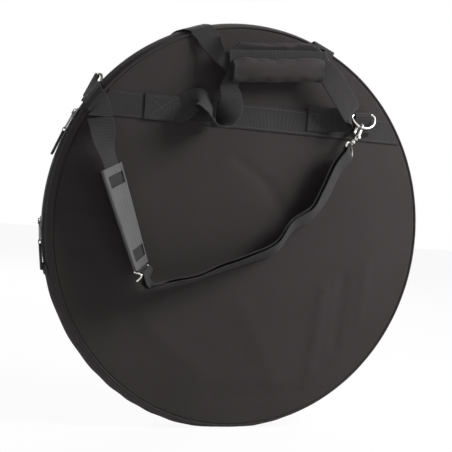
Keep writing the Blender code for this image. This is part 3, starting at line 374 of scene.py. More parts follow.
def finished(name, mesh, finish, body, replaced=()):
    """Clean a mesh, dress it and hang it on its body if one body is named, in place of the solids that it
    replaces; a piece given a blend stays on no body.
    """
    cleaned(mesh)
    mesh.materials.append(finish)
    mesh.shade_smooth()
    mesh.set_sharp_from_angle(angle=sharp_turn)
    thing = bpy.data.objects.new(name, mesh)
    bpy.context.scene.collection.objects.link(thing)
    if isinstance(body, str):
        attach(thing, body)
    else:
        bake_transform(thing)
    if replaced:
        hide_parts(*replaced)
    return thing


def polar(radius, angle, depth):
    """Points at a radius and an angle about the bag's axis, from +X towards +Z, at a depth in Y."""
    radius, angle, depth = np.broadcast_arrays(radius, angle, depth)
    return np.stack((radius * np.cos(angle), depth, rest_height + radius * np.sin(angle)), axis=-1)


def crown(x, z):
    """Smooth crowned face: half a parabola from the rim up to the middle, as a depth."""
    return rim_depth + panel_crown * np.maximum(0, 1 - (x * x + z * z) / panel_radius**2)


front_creases = (
    ((0.030, 0.066), (0.075, 0.010), 0.012, -0.0016),
    ((-0.020, 0.100), (0.020, 0.075), 0.010, -0.0013),
    ((0.140, -0.090), (0.128, -0.215), 0.010, 0.0015),
    ((0.175, -0.070), (0.168, -0.175), 0.010, -0.0015),
    ((0.215, -0.040), (0.212, -0.130), 0.010, 0.0013),
    ((-0.150, -0.150), (-0.060, -0.220), 0.016, 0.0015),
    ((-0.230, -0.060), (-0.180, -0.135), 0.014, -0.0015),
    ((0.000, -0.120), (0.070, -0.235), 0.018, 0.0013),
    ((-0.090, -0.235), (0.060, -0.225), 0.012, 0.0013),
    ((-0.030, -0.262), (0.110, -0.245), 0.009, -0.0013),
    ((-0.285, 0.010), (-0.215, 0.000), 0.008, 0.0013),
    ((-0.280, -0.040), (-0.235, -0.045), 0.008, -0.0013),
)
back_creases = (
    ((-0.100, 0.020), (0.060, 0.080), 0.016, -0.0007),
    ((0.050, -0.090), (0.090, -0.210), 0.012, 0.0006),
    ((-0.170, -0.050), (-0.130, -0.180), 0.014, -0.0006),
)


swell_height = 0.0005
small_swell_height = 0.00025
pucker_height = 0.00022
pucker_reach = 0.010
band_middle = 0.1676
band_reach = 0.026
rim_reach = 0.012


def ripple(x, z, creases):
    """Small waves of the fabric: a slow swell, straight creases with soft flanks, and seam puckers.

    A crease from a to b of width w adds height * exp(-(distance to the segment / w)^2). Puckers are
    a sine of the angle that fades away from the rim. Under the band the face stays nearly flat.
    """
    radius = np.hypot(x, z)
    swell = swell_height * np.sin(19 * x + 7 * z + 1.0) * np.sin(13 * z - 9 * x + 0.4)
    swell += small_swell_height * np.sin(46 * x - 17 * z) * np.sin(38 * z + 21 * x + 2.0)
    for (ax, az), (bx, bz), width, height in creases:
        dx, dz = bx - ax, bz - az
        share = np.clip(((x - ax) * dx + (z - az) * dz) / (dx * dx + dz * dz), 0, 1)
        away = np.hypot(x - ax - share * dx, z - az - share * dz)
        swell += height * np.exp(-(away / width) ** 2)
    angle = np.arctan2(z, x)
    pucker = np.sin(61 * angle + 2 * np.sin(5 * angle)) * pucker_height
    pucker = pucker * np.exp(-((panel_radius - radius) / pucker_reach))
    flat = np.exp(-((z - band_middle) / band_reach) ** 4)
    rim = np.clip((panel_radius - radius) / rim_reach, 0, 1)
    return swell * (1 - 0.8 * flat) * rim + pucker


def front_depth(x, z):
    """Depth of the front face at a place given from the middle of the bag."""
    return crown(x, z) + ripple(x, z, front_creases)


def back_depth(x, z):
    """Depth of the back face."""
    return crown(x, z) + ripple(x, z, back_creases)


def panel(name, side, depth, body, replaced):
    """Foam panel: its rows run from the middle of the face over the rounded rim to the middle inside."""
    out = panel_radius + fit_gap - edge_round
    face_radii = np.concatenate((np.linspace(0, 0.93, 70), np.linspace(0.935, 1, 18))) * out
    turn = np.linspace(0, math.pi / 2, 6)[1:]
    angles = np.linspace(0, math.tau, 288, endpoint=False)[None, :]
    x = face_radii[:, None] * np.cos(angles)
    z = face_radii[:, None] * np.sin(angles)
    face = polar(face_radii[:, None], angles, side * depth(x, z))
    shoulder = polar((out + edge_round * np.sin(turn))[:, None], angles,
                     side * (rim_depth - edge_round * (1 - np.cos(turn)))[:, None])
    inside_radii = np.array((panel_radius, panel_radius - 2 * edge_round, panel_radius / 2, 0))
    inside_depths = inner_depth + edge_round * np.array((1, 0, 0, 0))
    inside = polar(inside_radii[:, None], angles, side * inside_depths[:, None])
    grid = np.concatenate((face, shoulder, inside))
    surface(name, grid, charcoal, body, replaced, ends=False)


def fold_blend(depth):
    """Blend of the back shell and the cover across the fold line, given as a piece's body; nothing reads it
    and the piece stays on no body.
    """
    return ("back_shell", "front_cover", (0, depth, fold_height - fold_softness),
            (0, depth, fold_height + fold_softness))


panel("front_panel_cloth", -1, front_depth, fold_blend(-rim_depth),
      ("front_panel_upper", "front_panel_pocket"))
panel("back_panel_cloth", 1, back_depth, "back_shell", ("back_panel",))

# Linings: thin coated nylon, glued to the foam and quilted through it in wide diamonds, so its seams
# pull in a little. The front one also crosses the fold line in one sheet.
lining_thickness = 0.0008
lining_radius = panel_radius - 0.003
quilt_spacing = 0.055
quilt_depth = 0.0005
quilt_seam_share = 0.09


def coated_nylon():
    """Fine taffeta with a coat on it: close threads, a soft shine and pale rub marks."""
    finish = Finish("lining_nylon", 0.55, Specular_IOR_Level=0.4)
    x, _, z = finish.places()
    threads = weave(finish, x, z, 0.0004)
    rubbed = finish.speckle(14.0, 5.0)
    share = threads * 0.4 + rubbed * 0.6
    finish.wear(finish.colours(share, (0.022, 0.022, 0.023), (0.055, 0.055, 0.057)), 0.45 + rubbed * 0.25,
                threads, 0.00008, 0.7)
    return finish.material


nylon = coated_nylon()


def lining(name, side, body, replaced):
    """Flat sheet with a quilted inner face: h = depth * exp(-(distance to the seams)^2) along diamonds."""
    outer = inner_depth - fit_gap
    radii = np.linspace(0, lining_radius, 64)
    angles = np.linspace(0, math.tau, 200, endpoint=False)[None, :]
    x = radii[:, None] * np.cos(angles)
    z = radii[:, None] * np.sin(angles)
    seams = [np.abs(np.sin(math.pi * (x + way * z) / quilt_spacing / math.sqrt(2))) for way in (1, -1)]
    seam = np.exp(-(np.minimum(*seams) / quilt_seam_share) ** 2)
    inner = polar(radii[:, None], angles, side * (outer - lining_thickness + quilt_depth * seam))
    outside = polar(radii[::-1][:, None], angles, side * outer)
    thing = surface(name, np.concatenate((inner, outside)), nylon, body, replaced, ends=False)


lining("front_lining_sheet", -1, fold_blend(-inner_depth), ("front_lining_upper", "front_lining_pocket"))
lining("back_lining_sheet", 1, "back_shell", ("back_lining",))

# Piping: a cord in a bias-cut sleeve of the bag's own cloth, sewn into the seam of each panel. The
# seam draws it in a little at every stitch.
piping_radius = 0.0020
piping_centre = panel_radius + fit_gap + piping_radius
piping_stitch = 0.0060
piping_swell_share = 0.05
piping_wave_share = 0.02


def piping(name, side, body, replaced):
    """Ring of circles round the bag's axis; between stitches each circle swells by a small share."""
    angles = np.linspace(0, math.tau, 900, endpoint=False)[:, None]
    turns = np.linspace(0, math.tau, 14, endpoint=False)[None, :]
    between = np.abs(np.sin(math.pi * angles * piping_centre / piping_stitch))
    slow = np.sin(37 * angles + 3 * np.sin(4 * angles))
    radius = piping_radius * (1 + piping_swell_share * between + piping_wave_share * slow)
    grid = polar(piping_centre + radius * np.cos(turns), angles, side * (half_depth + radius * np.sin(turns)))
    surface(name, grid, charcoal_wrapped, body, replaced, around=True)


piping("front_piping_cord", -1, fold_blend(-half_depth), ("front_piping_upper", "front_piping_pocket"))
piping("back_piping_cord", 1, "back_shell", ("back_piping",))

# Gussets: the wall of the bag. Above the fold line it is two strips with a folded and top-stitched
# hem beside the zip; below it is one full strip, which stands on its flattened bottom.
gusset_thickness = 0.0032
hem_thickness = 0.0015
hem_offset = 0.0075
gusset_rise = 0.0050
pocket_bulge = 0.0075
gusset_edge = half_depth - piping_radius - fit_gap
gusset_seam_radius = panel_radius + fit_gap + gusset_thickness
gusset_shares = np.linspace(0, 1, 14)
seam_pucker = 0.00035
pocket_pucker = 0.0004
hem_stitch_shares = (0.93, 0.62)
pocket_stitch_share = 0.9
arc_rows = 420
thread_radius = 0.00028
stitch_pitch = 0.0034
stitch_share = 0.36
thread_sides = 5


def unit(vector):
    """Rows of vectors, each made one long."""
    vector = np.asarray(vector, float)
    return vector / np.linalg.norm(vector, axis=-1, keepdims=True)


def from_axis(points):
    """Directions straight away from the bag's axis at some points."""
    return unit(points * (1, 0, 1) - (0, 0, rest_height))


def gusset_depth(share):
    """Depth from the panel seam (0) to the hem (1)."""
    return gusset_edge + (hem_offset - gusset_edge) * share


def gusset_outer(share):
    """Outer radius from the panel seam (0) to the hem (1): a quarter of a sine wave."""
    return gusset_seam_radius + gusset_rise * np.sin(share * math.pi / 2)


def gusset_wall(share):
    """Wall of a zipped gusset, thinner towards the hem."""
    return gusset_thickness + (hem_thickness - gusset_thickness) * share


def arc(profile, side, rows):
    """Closed profile of (radius, depth) swept round the zipped rim and cut off level with the fold."""
    radius, depth = profile.T
    over = np.arcsin((fold_drop - fit_gap / 2) / radius)
    sweep = np.linspace(0, 1, rows)[:, None]
    angle = -over + (math.pi + 2 * over) * sweep
    return polar(radius, angle, side * depth)


def thread_finish():
    """Bonded polyester thread: two twisted plies with a slight gloss."""
    finish = Finish("sewing_thread", 0.5, Specular_IOR_Level=0.4)
    x, y, _ = finish.places("UV")
    plies = ((x * 3.0 + y * 5.0) * 1500.0).sine() * 0.5 + 0.5
    finish.wear(finish.colours(plies, (0.035, 0.033, 0.034), (0.095, 0.090, 0.090)), 0.45 + plies * 0.15,
                plies, 0.00005)
    return finish.material


thread = thread_finish()


def read_off(places, run, rows):
    """Rows of coordinates read off at places along their run."""
    return np.stack([np.interp(places, run, rows[:, axis]) for axis in range(3)], axis=-1)


def stitches(name, rows, body):
    """Lockstitches along rows of (points, normals): each is a short lens that dips in at both ends."""
    grids = []
    for points, normals in rows:
        run = np.concatenate(([0], np.cumsum(np.linalg.norm(np.diff(points, axis=0), axis=1))))
        count = max(2, int(run[-1] / stitch_pitch))
        middle = (np.arange(count) + 0.5) * run[-1] / count
        near = stitch_pitch / 8
        spots = read_off(middle, run, points)
        along = unit(read_off(middle + near, run, points) - read_off(middle - near, run, points))
        out = read_off(middle, run, np.broadcast_to(normals, points.shape))
        aside = unit(np.cross(along, out))
        out = np.cross(aside, along)
        reach = stitch_pitch * stitch_share * np.array((-1, -0.6, 0.6, 1))
        lift = thread_radius * np.array((-0.2, 0.8, 0.8, -0.2))
        thick = thread_radius * np.array((0.4, 1, 1, 0.4))
        turns = np.arange(thread_sides) * math.tau / thread_sides
        core = spots[:, None] + along[:, None] * reach[None, :, None] + out[:, None] * lift[None, :, None]
        ring = (aside[:, None, None] * np.cos(turns)[None, None, :, None]
                + out[:, None, None] * np.sin(turns)[None, None, :, None])
        grids += list(core[:, :, None] + ring * thick[None, :, None, None])
    surface(name, grids, thread, body)


def zipped_gusset(name, side, body, replaced):
    """Gusset strip with seam puckers: sine waves of the angle that fade from the seam to the hem."""
    depths = gusset_depth(gusset_shares)
    outer = np.stack((gusset_outer(gusset_shares), depths), axis=-1)
    inner = np.stack((gusset_outer(gusset_shares) - gusset_wall(gusset_shares), depths), axis=-1)
    grid = arc(np.concatenate((outer, inner[::-1])), side, arc_rows)
    angle = np.linspace(0, math.pi, arc_rows)[:, None]
    fade = np.concatenate((1 - gusset_shares, np.zeros(len(gusset_shares))))[None, :] ** 2
    wave = seam_pucker * np.sin(53 * angle + 2 * np.sin(7 * angle)) * fade
    surface(name, grid + from_axis(grid) * wave[:, :, None], charcoal_wrapped, body, replaced)
    rows = []
    for share in hem_stitch_shares:
        line = arc(np.array(((gusset_outer(share), gusset_depth(share)),)), side, arc_rows)[:, 0]
        rows.append((line, from_axis(line)))
    stitches(name + "_stitches", rows, body)


zipped_gusset("front_gusset_cloth", -1, "front_cover", ("front_gusset",))
zipped_gusset("back_gusset_cloth", 1, "back_shell", ("back_gusset",))


def pocket_wall(share, angle):
    """Outer radius of the full strip: a bulge across its width, cut off flat where the bag stands."""
    full = gusset_seam_radius + pocket_bulge * (1 - share * share)
    full = full + pocket_pucker * np.sin(41 * angle + 2 * np.sin(6 * angle)) * (1 - share * share)
    return np.minimum(full, rest_height / np.maximum(-np.sin(angle), 0.5))


def pocket_gusset():
    """Full strip from fold to fold, with a wall of constant thickness."""
    shares = np.linspace(-1, 1, 26)
    over = math.asin((fold_drop + fit_gap / 2) / (gusset_seam_radius + pocket_bulge / 2))
    angle = np.linspace(math.pi + over, math.tau - over, 360)[:, None]
    outer = pocket_wall(shares[None, :], angle)
    grid = polar(np.concatenate((outer, outer[:, ::-1] - gusset_thickness), axis=1), angle,
                 np.concatenate((shares, shares[::-1]))[None, :] * gusset_edge)
    surface("pocket_gusset_cloth", grid, charcoal_wrapped, "back_shell", ("pocket_gusset",))
    rows = []
    for share in (-pocket_stitch_share, pocket_stitch_share):
        line = polar(pocket_wall(share, angle[:, 0]), angle[:, 0], share * gusset_edge)
        rows.append((line, from_axis(line)))
    stitches("pocket_gusset_stitches", rows, "back_shell")


pocket_gusset()

# The zip: two woven tapes, each with a row of nylon coil sewn along it, and a webbing tab folded
# over each of its ends, below the fold line.
tape_reach = 0.0095
tape_thickness = 0.0010
coil_width = 0.0036
coil_height = 0.0034
coil_near = 0.00075
coil_pitch = 0.0020
coil_wire = 0.00052
coil_wire_share = 0.92
coil_lean_share = 0.22
coil_full_share = 1.05
coil_mesh = 0.0004
coil_end = 0.001
tape_share = (gusset_edge - tape_reach) / (gusset_edge - hem_offset)
tape_outer = gusset_outer(tape_share) - gusset_wall(tape_share) - fit_gap
coil_base = tape_outer + fit_gap
coil_top = coil_base + coil_height


def twill_tape():
    """Woven tape: a fine herringbone whose ridges turn back in every column."""
    finish = Finish("zip_tape", 0.85, Specular_IOR_Level=0.25)
    x, y, _ = finish.places("UV")
    turned_back = (y * (math.pi / 0.0022)).sine().size()
    ridges = ((x * 5200.0) + turned_back * 3.0).sine() * 0.5 + 0.5
    fluff = finish.speckle(300.0, 3.0)
    finish.wear(finish.colours(ridges * 0.6 + fluff * 0.4, (0.013, 0.013, 0.014), (0.042, 0.042, 0.044)),
                0.80 + fluff * 0.1, ridges, 0.00012)
    return finish.material


def coil_nylon():
    """Dyed monofilament: smooth, with a soft gloss and paler where the slider rubs it."""
    finish = Finish("zip_coil", 0.4, Specular_IOR_Level=0.5)
    rub = finish.speckle(120.0, 3.0)
    colour = finish.colours(rub, (0.030, 0.029, 0.030), (0.070, 0.068, 0.068))
    finish.wear(colour, 0.32 + rub * 0.22, rub, 0.00004)
    return finish.material


tape_finish = twill_tape()
coil_finish = coil_nylon()


def zip_side(name, side, body):
    """Tape as a thin swept slab, and teeth that are half loops of wire, leaning by half a pitch."""
    spots = np.linspace(coil_near, tape_reach, 6)
    slab = np.concatenate((np.stack((np.full(6, tape_outer), spots), axis=-1),
                           np.stack((np.full(6, tape_outer - tape_thickness), spots[::-1]), axis=-1)))
    surface(name + "_zip_tape_weave", arc(slab, side, 400), tape_finish, body, (name + "_zip_tape",))
    radius = coil_base + coil_height / 2
    over = math.asin((fold_drop - coil_end) / radius)
    count = int((math.pi + 2 * over) * radius / coil_pitch)
    angle = -over + (math.pi + 2 * over) * (np.arange(count) + 0.5 + side * 0.25) / count
    sweep = np.linspace(0, math.pi, 8)
    high = coil_base + coil_wire * 0.4 + (coil_height - coil_wire) * np.sqrt(np.abs(np.sin(sweep)))
    deep = coil_near - coil_mesh + coil_width / 2 * (1 + np.cos(sweep)) * coil_full_share
    lean = coil_pitch * coil_lean_share * np.cos(sweep) / radius
    centre = polar(high[None, :], angle[:, None] + lean[None, :], side * deep[None, :])
    along = unit(np.gradient(centre, axis=1))
    rim = np.stack((-np.sin(angle), 0 * angle, np.cos(angle)), axis=-1)[:, None]
    flat = unit(np.cross(along, rim))
    turns = np.arange(thread_sides) * math.tau / thread_sides
    ring = (rim[:, :, None] * np.cos(turns)[None, None, :, None]
            + flat[:, :, None] * np.sin(turns)[None, None, :, None])
    teeth = centre[:, :, None] + ring * coil_wire * coil_wire_share
    surface(name + "_zip_teeth", list(teeth), coil_finish, body, (name + "_zip_coil",))


zip_side("front", -1, "front_cover")
zip_side("back", 1, "back_shell")

# Webbing: one heavy ribbed tape, 38 mm wide, for the bands, the handle and the shoulder strap. Bands
# are sewn flat across both panels, from piping to piping.
webbing_width = 0.038
webbing_thickness = 0.0018
band_thickness = 0.0014
band_drop = 0.1486
band_margin = 0.0035
band_stitch_inset = 0.0035
band_stitch_end = 0.008
rib_pitch = 0.0023
rib_column = 0.0048
rib_yarn = 0.0007
rib_relief = 0.00040


def ribbed_webbing():
    """Nylon webbing: cross ribs in slanted columns, painted highlights on their crests, fuzz, and paler wear
    in patches.
    """
    finish = Finish("webbing", 0.8, Sheen_Weight=0.06, Sheen_Roughness=0.4, Specular_IOR_Level=0.12)
    x, y, _ = finish.places("UV")
    column = (y * (math.pi / rib_column)).sine().size()
    ribs = (x * (math.tau / rib_pitch) + column * 2.8).sine() * 0.5 + 0.5
    yarn = (y * (math.tau / rib_yarn)).sine() * 0.5 + 0.5
    wear = finish.speckle(30.0, 4.0)
    fuzz = finish.speckle(700.0, 2.0)
    # Painted light and shade: the ribs and yarn stripes lighten the crests and darken the grooves in the
    # colour, as well as raising the relief.
    share = ribs * 0.55 + wear * 0.22 + fuzz * 0.20 + yarn * 0.08
    colour = finish.colours(share.within(0.10, 0.92), (0.0085, 0.0080, 0.0083), (0.0560, 0.0532, 0.0550))
    finish.wear(colour, 0.72 + fuzz * 0.18, ribs * 0.8 + yarn * 0.2, rib_relief)
    return finish.material


webbing_finish = ribbed_webbing()


def section(width, thickness):
    """Closed section of webbing: two flats joined by half-round edges, as (across, out)."""
    half = thickness / 2
    flat = np.linspace(-1, 1, 15) * (width - thickness) / 2
    edge = np.radians((60, 0, -60))
    round_across = (width - thickness) / 2 + half * np.cos(edge)
    round_out = half * np.sin(edge)
    across = np.concatenate((flat, round_across, flat[::-1], -round_across[::-1]))
    out = np.concatenate((np.full(15, half), round_out, np.full(15, -half), round_out[::-1]))
    return across, out


def cubic(a, b, c, d, t):
    """Catmull-Rom cubic from b to c, where a and d are the points before and after."""
    return 0.5 * (2 * b + (c - a) * t + (2 * a - 5 * b + 4 * c - d) * t**2 + (3 * b - a - 3 * c + d) * t**3)


def smooth_path(points, count):
    """Catmull-Rom curve through given points: a cubic between each two, sampled evenly."""
    points = np.asarray(points, float)
    ends = np.vstack((2 * points[0] - points[1], points, 2 * points[-1] - points[-2]))
    places = np.linspace(0, len(points) - 1, count)
    first = np.minimum(places.astype(int), len(points) - 2)
    a, b, c, d = (ends[first + shift] for shift in range(4))
    return cubic(a, b, c, d, (places - first)[:, None])


def webbing(name, stations, count, body, replaced=(), width=webbing_width, square=True, narrow=None):
    """Webbing carried along stations of (point, across vector), in count rows.

    narrow pairs shares of the run with shares of the width; square turns each row square to the run.
    """
    points, across = (smooth_path(part, count) for part in zip(*stations))
    along = unit(np.gradient(points, axis=0))
    if square:
        across = across - along * np.sum(across * along, axis=1)[:, None]
    across = unit(across)
    out = unit(np.cross(along, across))
    wide, high = section(width, webbing_thickness)
    shares = np.ones(count) if narrow is None else np.interp(np.arange(count) / count, *narrow)
    grid = (points[:, None] + across[:, None] * (wide[None, :] * shares[:, None])[:, :, None]
            + out[:, None] * high[None, :, None])
    return surface(name, grid, webbing_finish, body, replaced)


def band(name, side, depth, body, replaced):
    """Band whose every line follows the panel's face: depth(x, z) plus the webbing's own section."""
    wide, high = section(webbing_width, band_thickness)
    z = band_drop + webbing_width / 2 + wide
    reach = np.sqrt(panel_radius**2 - z * z) - band_margin
    x = np.linspace(-1, 1, 220)[:, None] * reach[None, :]
    y = depth(x, z[None, :]) + fit_gap + band_thickness / 2 + high[None, :]
    grid = np.stack((x, side * y, rest_height + z[None, :] + 0 * x), axis=-1)
    surface(name, grid, webbing_finish, body, replaced)
    rows = []
    for edge in (band_stitch_inset, webbing_width - band_stitch_inset):
        line_z = band_drop + edge
        line_x = np.linspace(-1, 1, 200) * (math.sqrt(panel_radius**2 - line_z**2) - band_stitch_end)
        line_y = side * (depth(line_x, line_z) + fit_gap + band_thickness)
        rows.append((np.stack((line_x, line_y, rest_height + line_z + 0 * line_x), axis=-1), (0, side, 0)))
    stitches(name + "_stitches", rows, body)


band("front_band_webbing", -1, front_depth, "front_cover", ("front_band",))
band("back_band_webbing", 1, back_depth, "back_shell", ("back_band",))


tab_half = 0.007
tab_depth_share = 0.58
tab_thickness = 0.0012
tab_stand = 0.0009
tab_stitch_depth = 0.0095
tab_gap = math.radians(0.5)


def end_tab(name, middle, replaced):
    """Tab of webbing over one end of the zip: a slab of rounded section, bent round the rim."""
    radius = gusset_seam_radius + pocket_bulge
    sweep = np.linspace(-tab_half, tab_half, 16) / radius
    wide, high = section(2 * tab_depth_share * gusset_edge, tab_thickness)
    angle = (middle + sweep)[:, None]
    share = np.clip(wide / gusset_edge, -1, 1)[None, :]
    grid = polar(pocket_wall(share, angle) + tab_stand + high[None, :], angle, wide[None, :])
    surface(name, grid, webbing_finish, "back_shell", replaced)
    rows = []
    for depth in (-tab_stitch_depth, tab_stitch_depth):
        face = pocket_wall(depth / gusset_edge, angle[:, 0]) + tab_stand + tab_thickness / 2
        line = polar(face, angle[:, 0], depth)
        rows.append((line, from_axis(line)))
    stitches(name + "_stitches", rows, "back_shell")


tab_radius = gusset_seam_radius + gusset_rise
tab_middle = math.asin(fold_drop / tab_radius) + tab_gap + tab_half / tab_radius
end_tab("left_zip_end_tab", math.pi + tab_middle, ("zip_end_tab_left",))
end_tab("right_zip_end_tab", -tab_middle, ("zip_end_tab_right",))

# Carry handle: a length of webbing sewn to the front band at both ends, a second one that is sewn to
# the back band and comes over the rim, and a padded wrap with hook-and-loop that closes round both.
on_band = fit_gap + band_thickness + fit_gap + webbing_thickness / 2
grip_length = 0.147
grip_wall = 0.006
grip_bore = 0.013
grip_drop = 0.012
grip_flap = 0.0325
grip_rise = 0.010
grip_slope = math.radians(6)
run_spacing = 0.0050
run_overhang = 0.003
run_rise = 0.004
grip_along = np.array((math.cos(grip_slope), 0, math.sin(grip_slope)))
grip_up = np.array((-math.sin(grip_slope), 0, math.cos(grip_slope)))
outward = np.array((0, -1, 0))
behind = np.array((0, 1, 0))


def before(x, z, stand_off):
    """Point in front of the front face, from shares of the panel's radius and a stand-off."""
    x, z = x * panel_radius, z * panel_radius
    return np.array((x, -crown(x, z) - stand_off, rest_height + z))


def after(x, z, stand_off):
    """Point behind the back face."""
    x, z = x * panel_radius, z * panel_radius
    return np.array((x, crown(x, z) + stand_off, rest_height + z))


grip_middle = before(0.0535, 0.823, 0.64 * webbing_width)


def grip_run_point(share, which):
    """Point on a webbing run inside the grip; which is -1 for the rear run, 1 for the front one."""
    spot = grip_middle + grip_along * (grip_length / 2 + run_overhang) * share
    return spot + outward * which * run_spacing / 2 + grip_up * run_rise


def along_face(x, z, direction, stand):
    """Direction laid along a crowned face; stand points away from the bag."""
    slope = 2 * panel_crown * (x * direction[0] + z * direction[2]) / panel_radius**2
    return unit(np.asarray(direction, float) - np.asarray(stand) * slope)


def placed(shares):
    """Stations from shares: x, z of the panel's radius, and a stand-off of the webbing's width."""
    stations = []
    for x, off, z, across in shares:
        point = before(x, z, on_band + off * webbing_width)
        stations.append((point, along_face(x * panel_radius, z * panel_radius, across, outward)))
    return stations


left_leg_shares = (
    (-0.595, 0, 0.5605, (0, 0, 1)), (-0.500, 0.004, 0.5605, (0, 0, 1)), (-0.422, 0.020, 0.5605, (0, 0, 1)),
    (-0.382, 0.14, 0.592, (-0.10, 0.25, 1)), (-0.335, 0.38, 0.622, (0.15, 0.60, 0.80)),
    (-0.292, 0.57, 0.575, (0.45, 0.80, 0.40)), (-0.267, 0.62, 0.512, (0.2, 1, 0.1)),
    (-0.234, 0.62, 0.490, (-0.1, 1, 0)), (-0.200, 0.60, 0.520, (-0.5, 0.85, 0)),
    (-0.178, 0.52, 0.590, (-0.95, 0.3, 0)), (-0.176, 0.50, 0.645, (-1, 0, 0)),
    (-0.190, 0.50, 0.685, (-0.93, 0, -0.25)), (-0.178, 0.54, 0.735, (-0.96, 0, -0.20)),
    (-0.160, 0.563, 0.785, (-0.98, 0, -0.10)),
)
right_leg_shares = (
    (0.290, 0, 0.585, (0, 0, 1)), (0.370, 0.015, 0.585, (0, 0, 1)), (0.430, 0.14, 0.590, (0, 0, 1)),
    (0.490, 0.26, 0.600, (0.25, 0, 0.97)), (0.515, 0.42, 0.615, (0.4, 0, 0.9)),
    (0.500, 0.58, 0.640, (0.55, 0, 0.8)), (0.455, 0.68, 0.690, (0.68, 0, 0.73)),
    (0.405, 0.72, 0.745, (0.66, 0, 0.75)), (0.368, 0.73, 0.790, (0.55, 0, 0.83)),
    (0.325, 0.66, 0.828, (0.35, 0, 0.93)), (0.280, 0.563, 0.852, (0.05, 0, 1)),
)
lift_blend = ("front_cover", "carry_handle", (0, 0, 0.472), (0, 0, 0.545))
webbing("front_handle_left_run", placed(left_leg_shares), 260, lift_blend, ("front_handle_leg_left",),
        narrow=((0, 0.72, 1), (1, 1, 0.5)))
webbing("front_handle_right_run", placed(right_leg_shares), 220, lift_blend, ("front_handle_leg_right",),
        narrow=((0, 0.8, 1), (1, 1, 0.75)))
webbing("front_handle_inner_run", [(grip_run_point(share, 1), grip_up) for share in (-1, -0.3, 0.3, 1)], 60,
        "carry_handle", ("front_handle_run",))


box_inset = 0.004


def crossed(corners, count):
    """The four sides and two diagonals of a box, each as a row of points from corner to corner."""
    share = np.linspace(0, 1, count)[:, None]
    pairs = ((0, 1), (1, 2), (2, 3), (3, 0), (0, 2), (1, 3))
    return [corners[first] * (1 - share) + corners[second] * share for first, second in pairs]


def cross_box(name, left, right, side, body):
    """Stitching that fastens a leg to its band: a box with a cross in it, just inside the edges."""
    low, high = band_drop + box_inset, band_drop + webbing_width - box_inset
    corners = np.array(((left, low), (right, low), (right, high), (left, high)))
    rows = []
    for flat in crossed(corners, 40):
        y = side * (crown(flat[:, 0], flat[:, 1]) + on_band + webbing_thickness / 2)
        rows.append((np.stack((flat[:, 0], y, rest_height + flat[:, 1]), axis=-1), (0, side, 0)))
    stitches(name, rows, body)


cross_box("left_leg_cross_box", -0.173, -0.133, -1, "front_cover")
cross_box("right_leg_cross_box", 0.090, 0.106, -1, "front_cover")

# The rear webbing: sewn to the back band, it comes over the rim and down to the grip, runs through it
# and goes back the same way on the other side.
handle_left_angle = math.radians(108.5)
handle_right_angle = math.radians(69.5)
handle_drift = math.radians(1.5)
rim_over = coil_top + fit_gap + webbing_thickness / 2
corner_reach = piping_radius + band_thickness + webbing_thickness / 2 + 2 * fit_gap
corner_depth = half_depth + corner_reach
rim_lip = piping_centre - corner_reach / 2 - fit_gap
tail_middle_share = 0.3325
tail_box_half = 0.014
tail_shares = ((0.365, 0.86), (0.35, 0.76), (0.335, 0.66), (0.33, 0.53))


def over_rim(angle, drift, side):
    """Stations of webbing that crosses the rim, from the zip plane to the panel's edge."""
    stations = []
    slant = corner_reach * math.sqrt(1 / 2)
    corner = piping_centre + corner_reach
    path = (
        (rim_over, fit_gap, 0), (rim_over, hem_offset, 0.25),
        ((rim_over + corner) / 2, (gusset_edge + hem_offset) / 2 + corner_reach, 0.55),
        (corner, half_depth, 0.75), (piping_centre + slant, half_depth + slant, 0.9),
        (piping_centre - corner_reach / 2, corner_depth, 1),
    )
    for radius, depth, share in path:
        turn = angle + drift * (1 - share)
        stations.append((polar(radius, turn, side * depth), np.array((-math.sin(turn), 0, math.cos(turn)))))
    return stations


def rear_tail(angle, drift, toward):
    """Rear handle webbing behind the bag, down to where it is sewn to the band."""
    stations = over_rim(angle + 2 * drift, -drift, 1)
    for x, z in tail_shares:
        stations.append((after(toward * x, z, on_band), np.array((-1, 0, 0.15 * toward))))
    return stations


rim_blend = ("back_shell", "front_cover", (0, 0.012, 0), (0, -0.012, 0))
for name, angle, drift, toward in (("left", handle_left_angle, handle_drift, -1),
                                   ("right", handle_right_angle, -handle_drift, 1)):
    stations = rear_tail(angle, drift, toward)[::-1] + over_rim(angle, drift, -1)
    webbing("rear_handle_" + name + "_over_rim", stations, 300, rim_blend,
            ("rear_handle_tail_" + name, "rear_handle_over_rim_" + name), square=False)
    middle = toward * tail_middle_share * panel_radius
    cross_box("rear_" + name + "_cross_box", middle - tail_box_half, middle + tail_box_half, 1, "back_shell")


def rear_leg(angle, toward):
    """Stations from the rim's front corner to the grip's end."""
    end = grip_run_point(toward, -1)
    tangent = np.array((-math.sin(angle), 0, math.cos(angle))) * toward
    first = polar(rim_lip, angle, -corner_depth)
    second = polar(rim_lip - webbing_width / 4, angle + toward * math.radians(1),
                       -corner_depth - 0.30 * webbing_width / 4)
    elbow = end + grip_along * toward * webbing_width * 0.30 + np.array((0, 0, webbing_width * 0.22))
    return [(first, tangent), (second, tangent), ((second + elbow) / 2, tangent + grip_up),
            (elbow, grip_up + tangent / 2), (end, grip_up)]


inside_run = [(grip_run_point(share, -1), grip_up) for share in (-0.9, -0.45, 0, 0.45, 0.9)]
whole_run = rear_leg(handle_left_angle, -1) + inside_run + rear_leg(handle_right_angle, 1)[::-1]
run_shares = np.array((0, 4, 11, 16, 36, 41, 48, 52)) / 52
gather_shares = (1, 1, 0.66, 0.72, 0.72, 0.70, 1, 1)
run_blend = ("front_cover", "carry_handle", (0, 0, 0.5945), (0, 0, 0.575))
webbing("rear_handle_front_run", whole_run, 520, run_blend, ("rear_handle_front",), square=False,
        narrow=(run_shares, gather_shares))

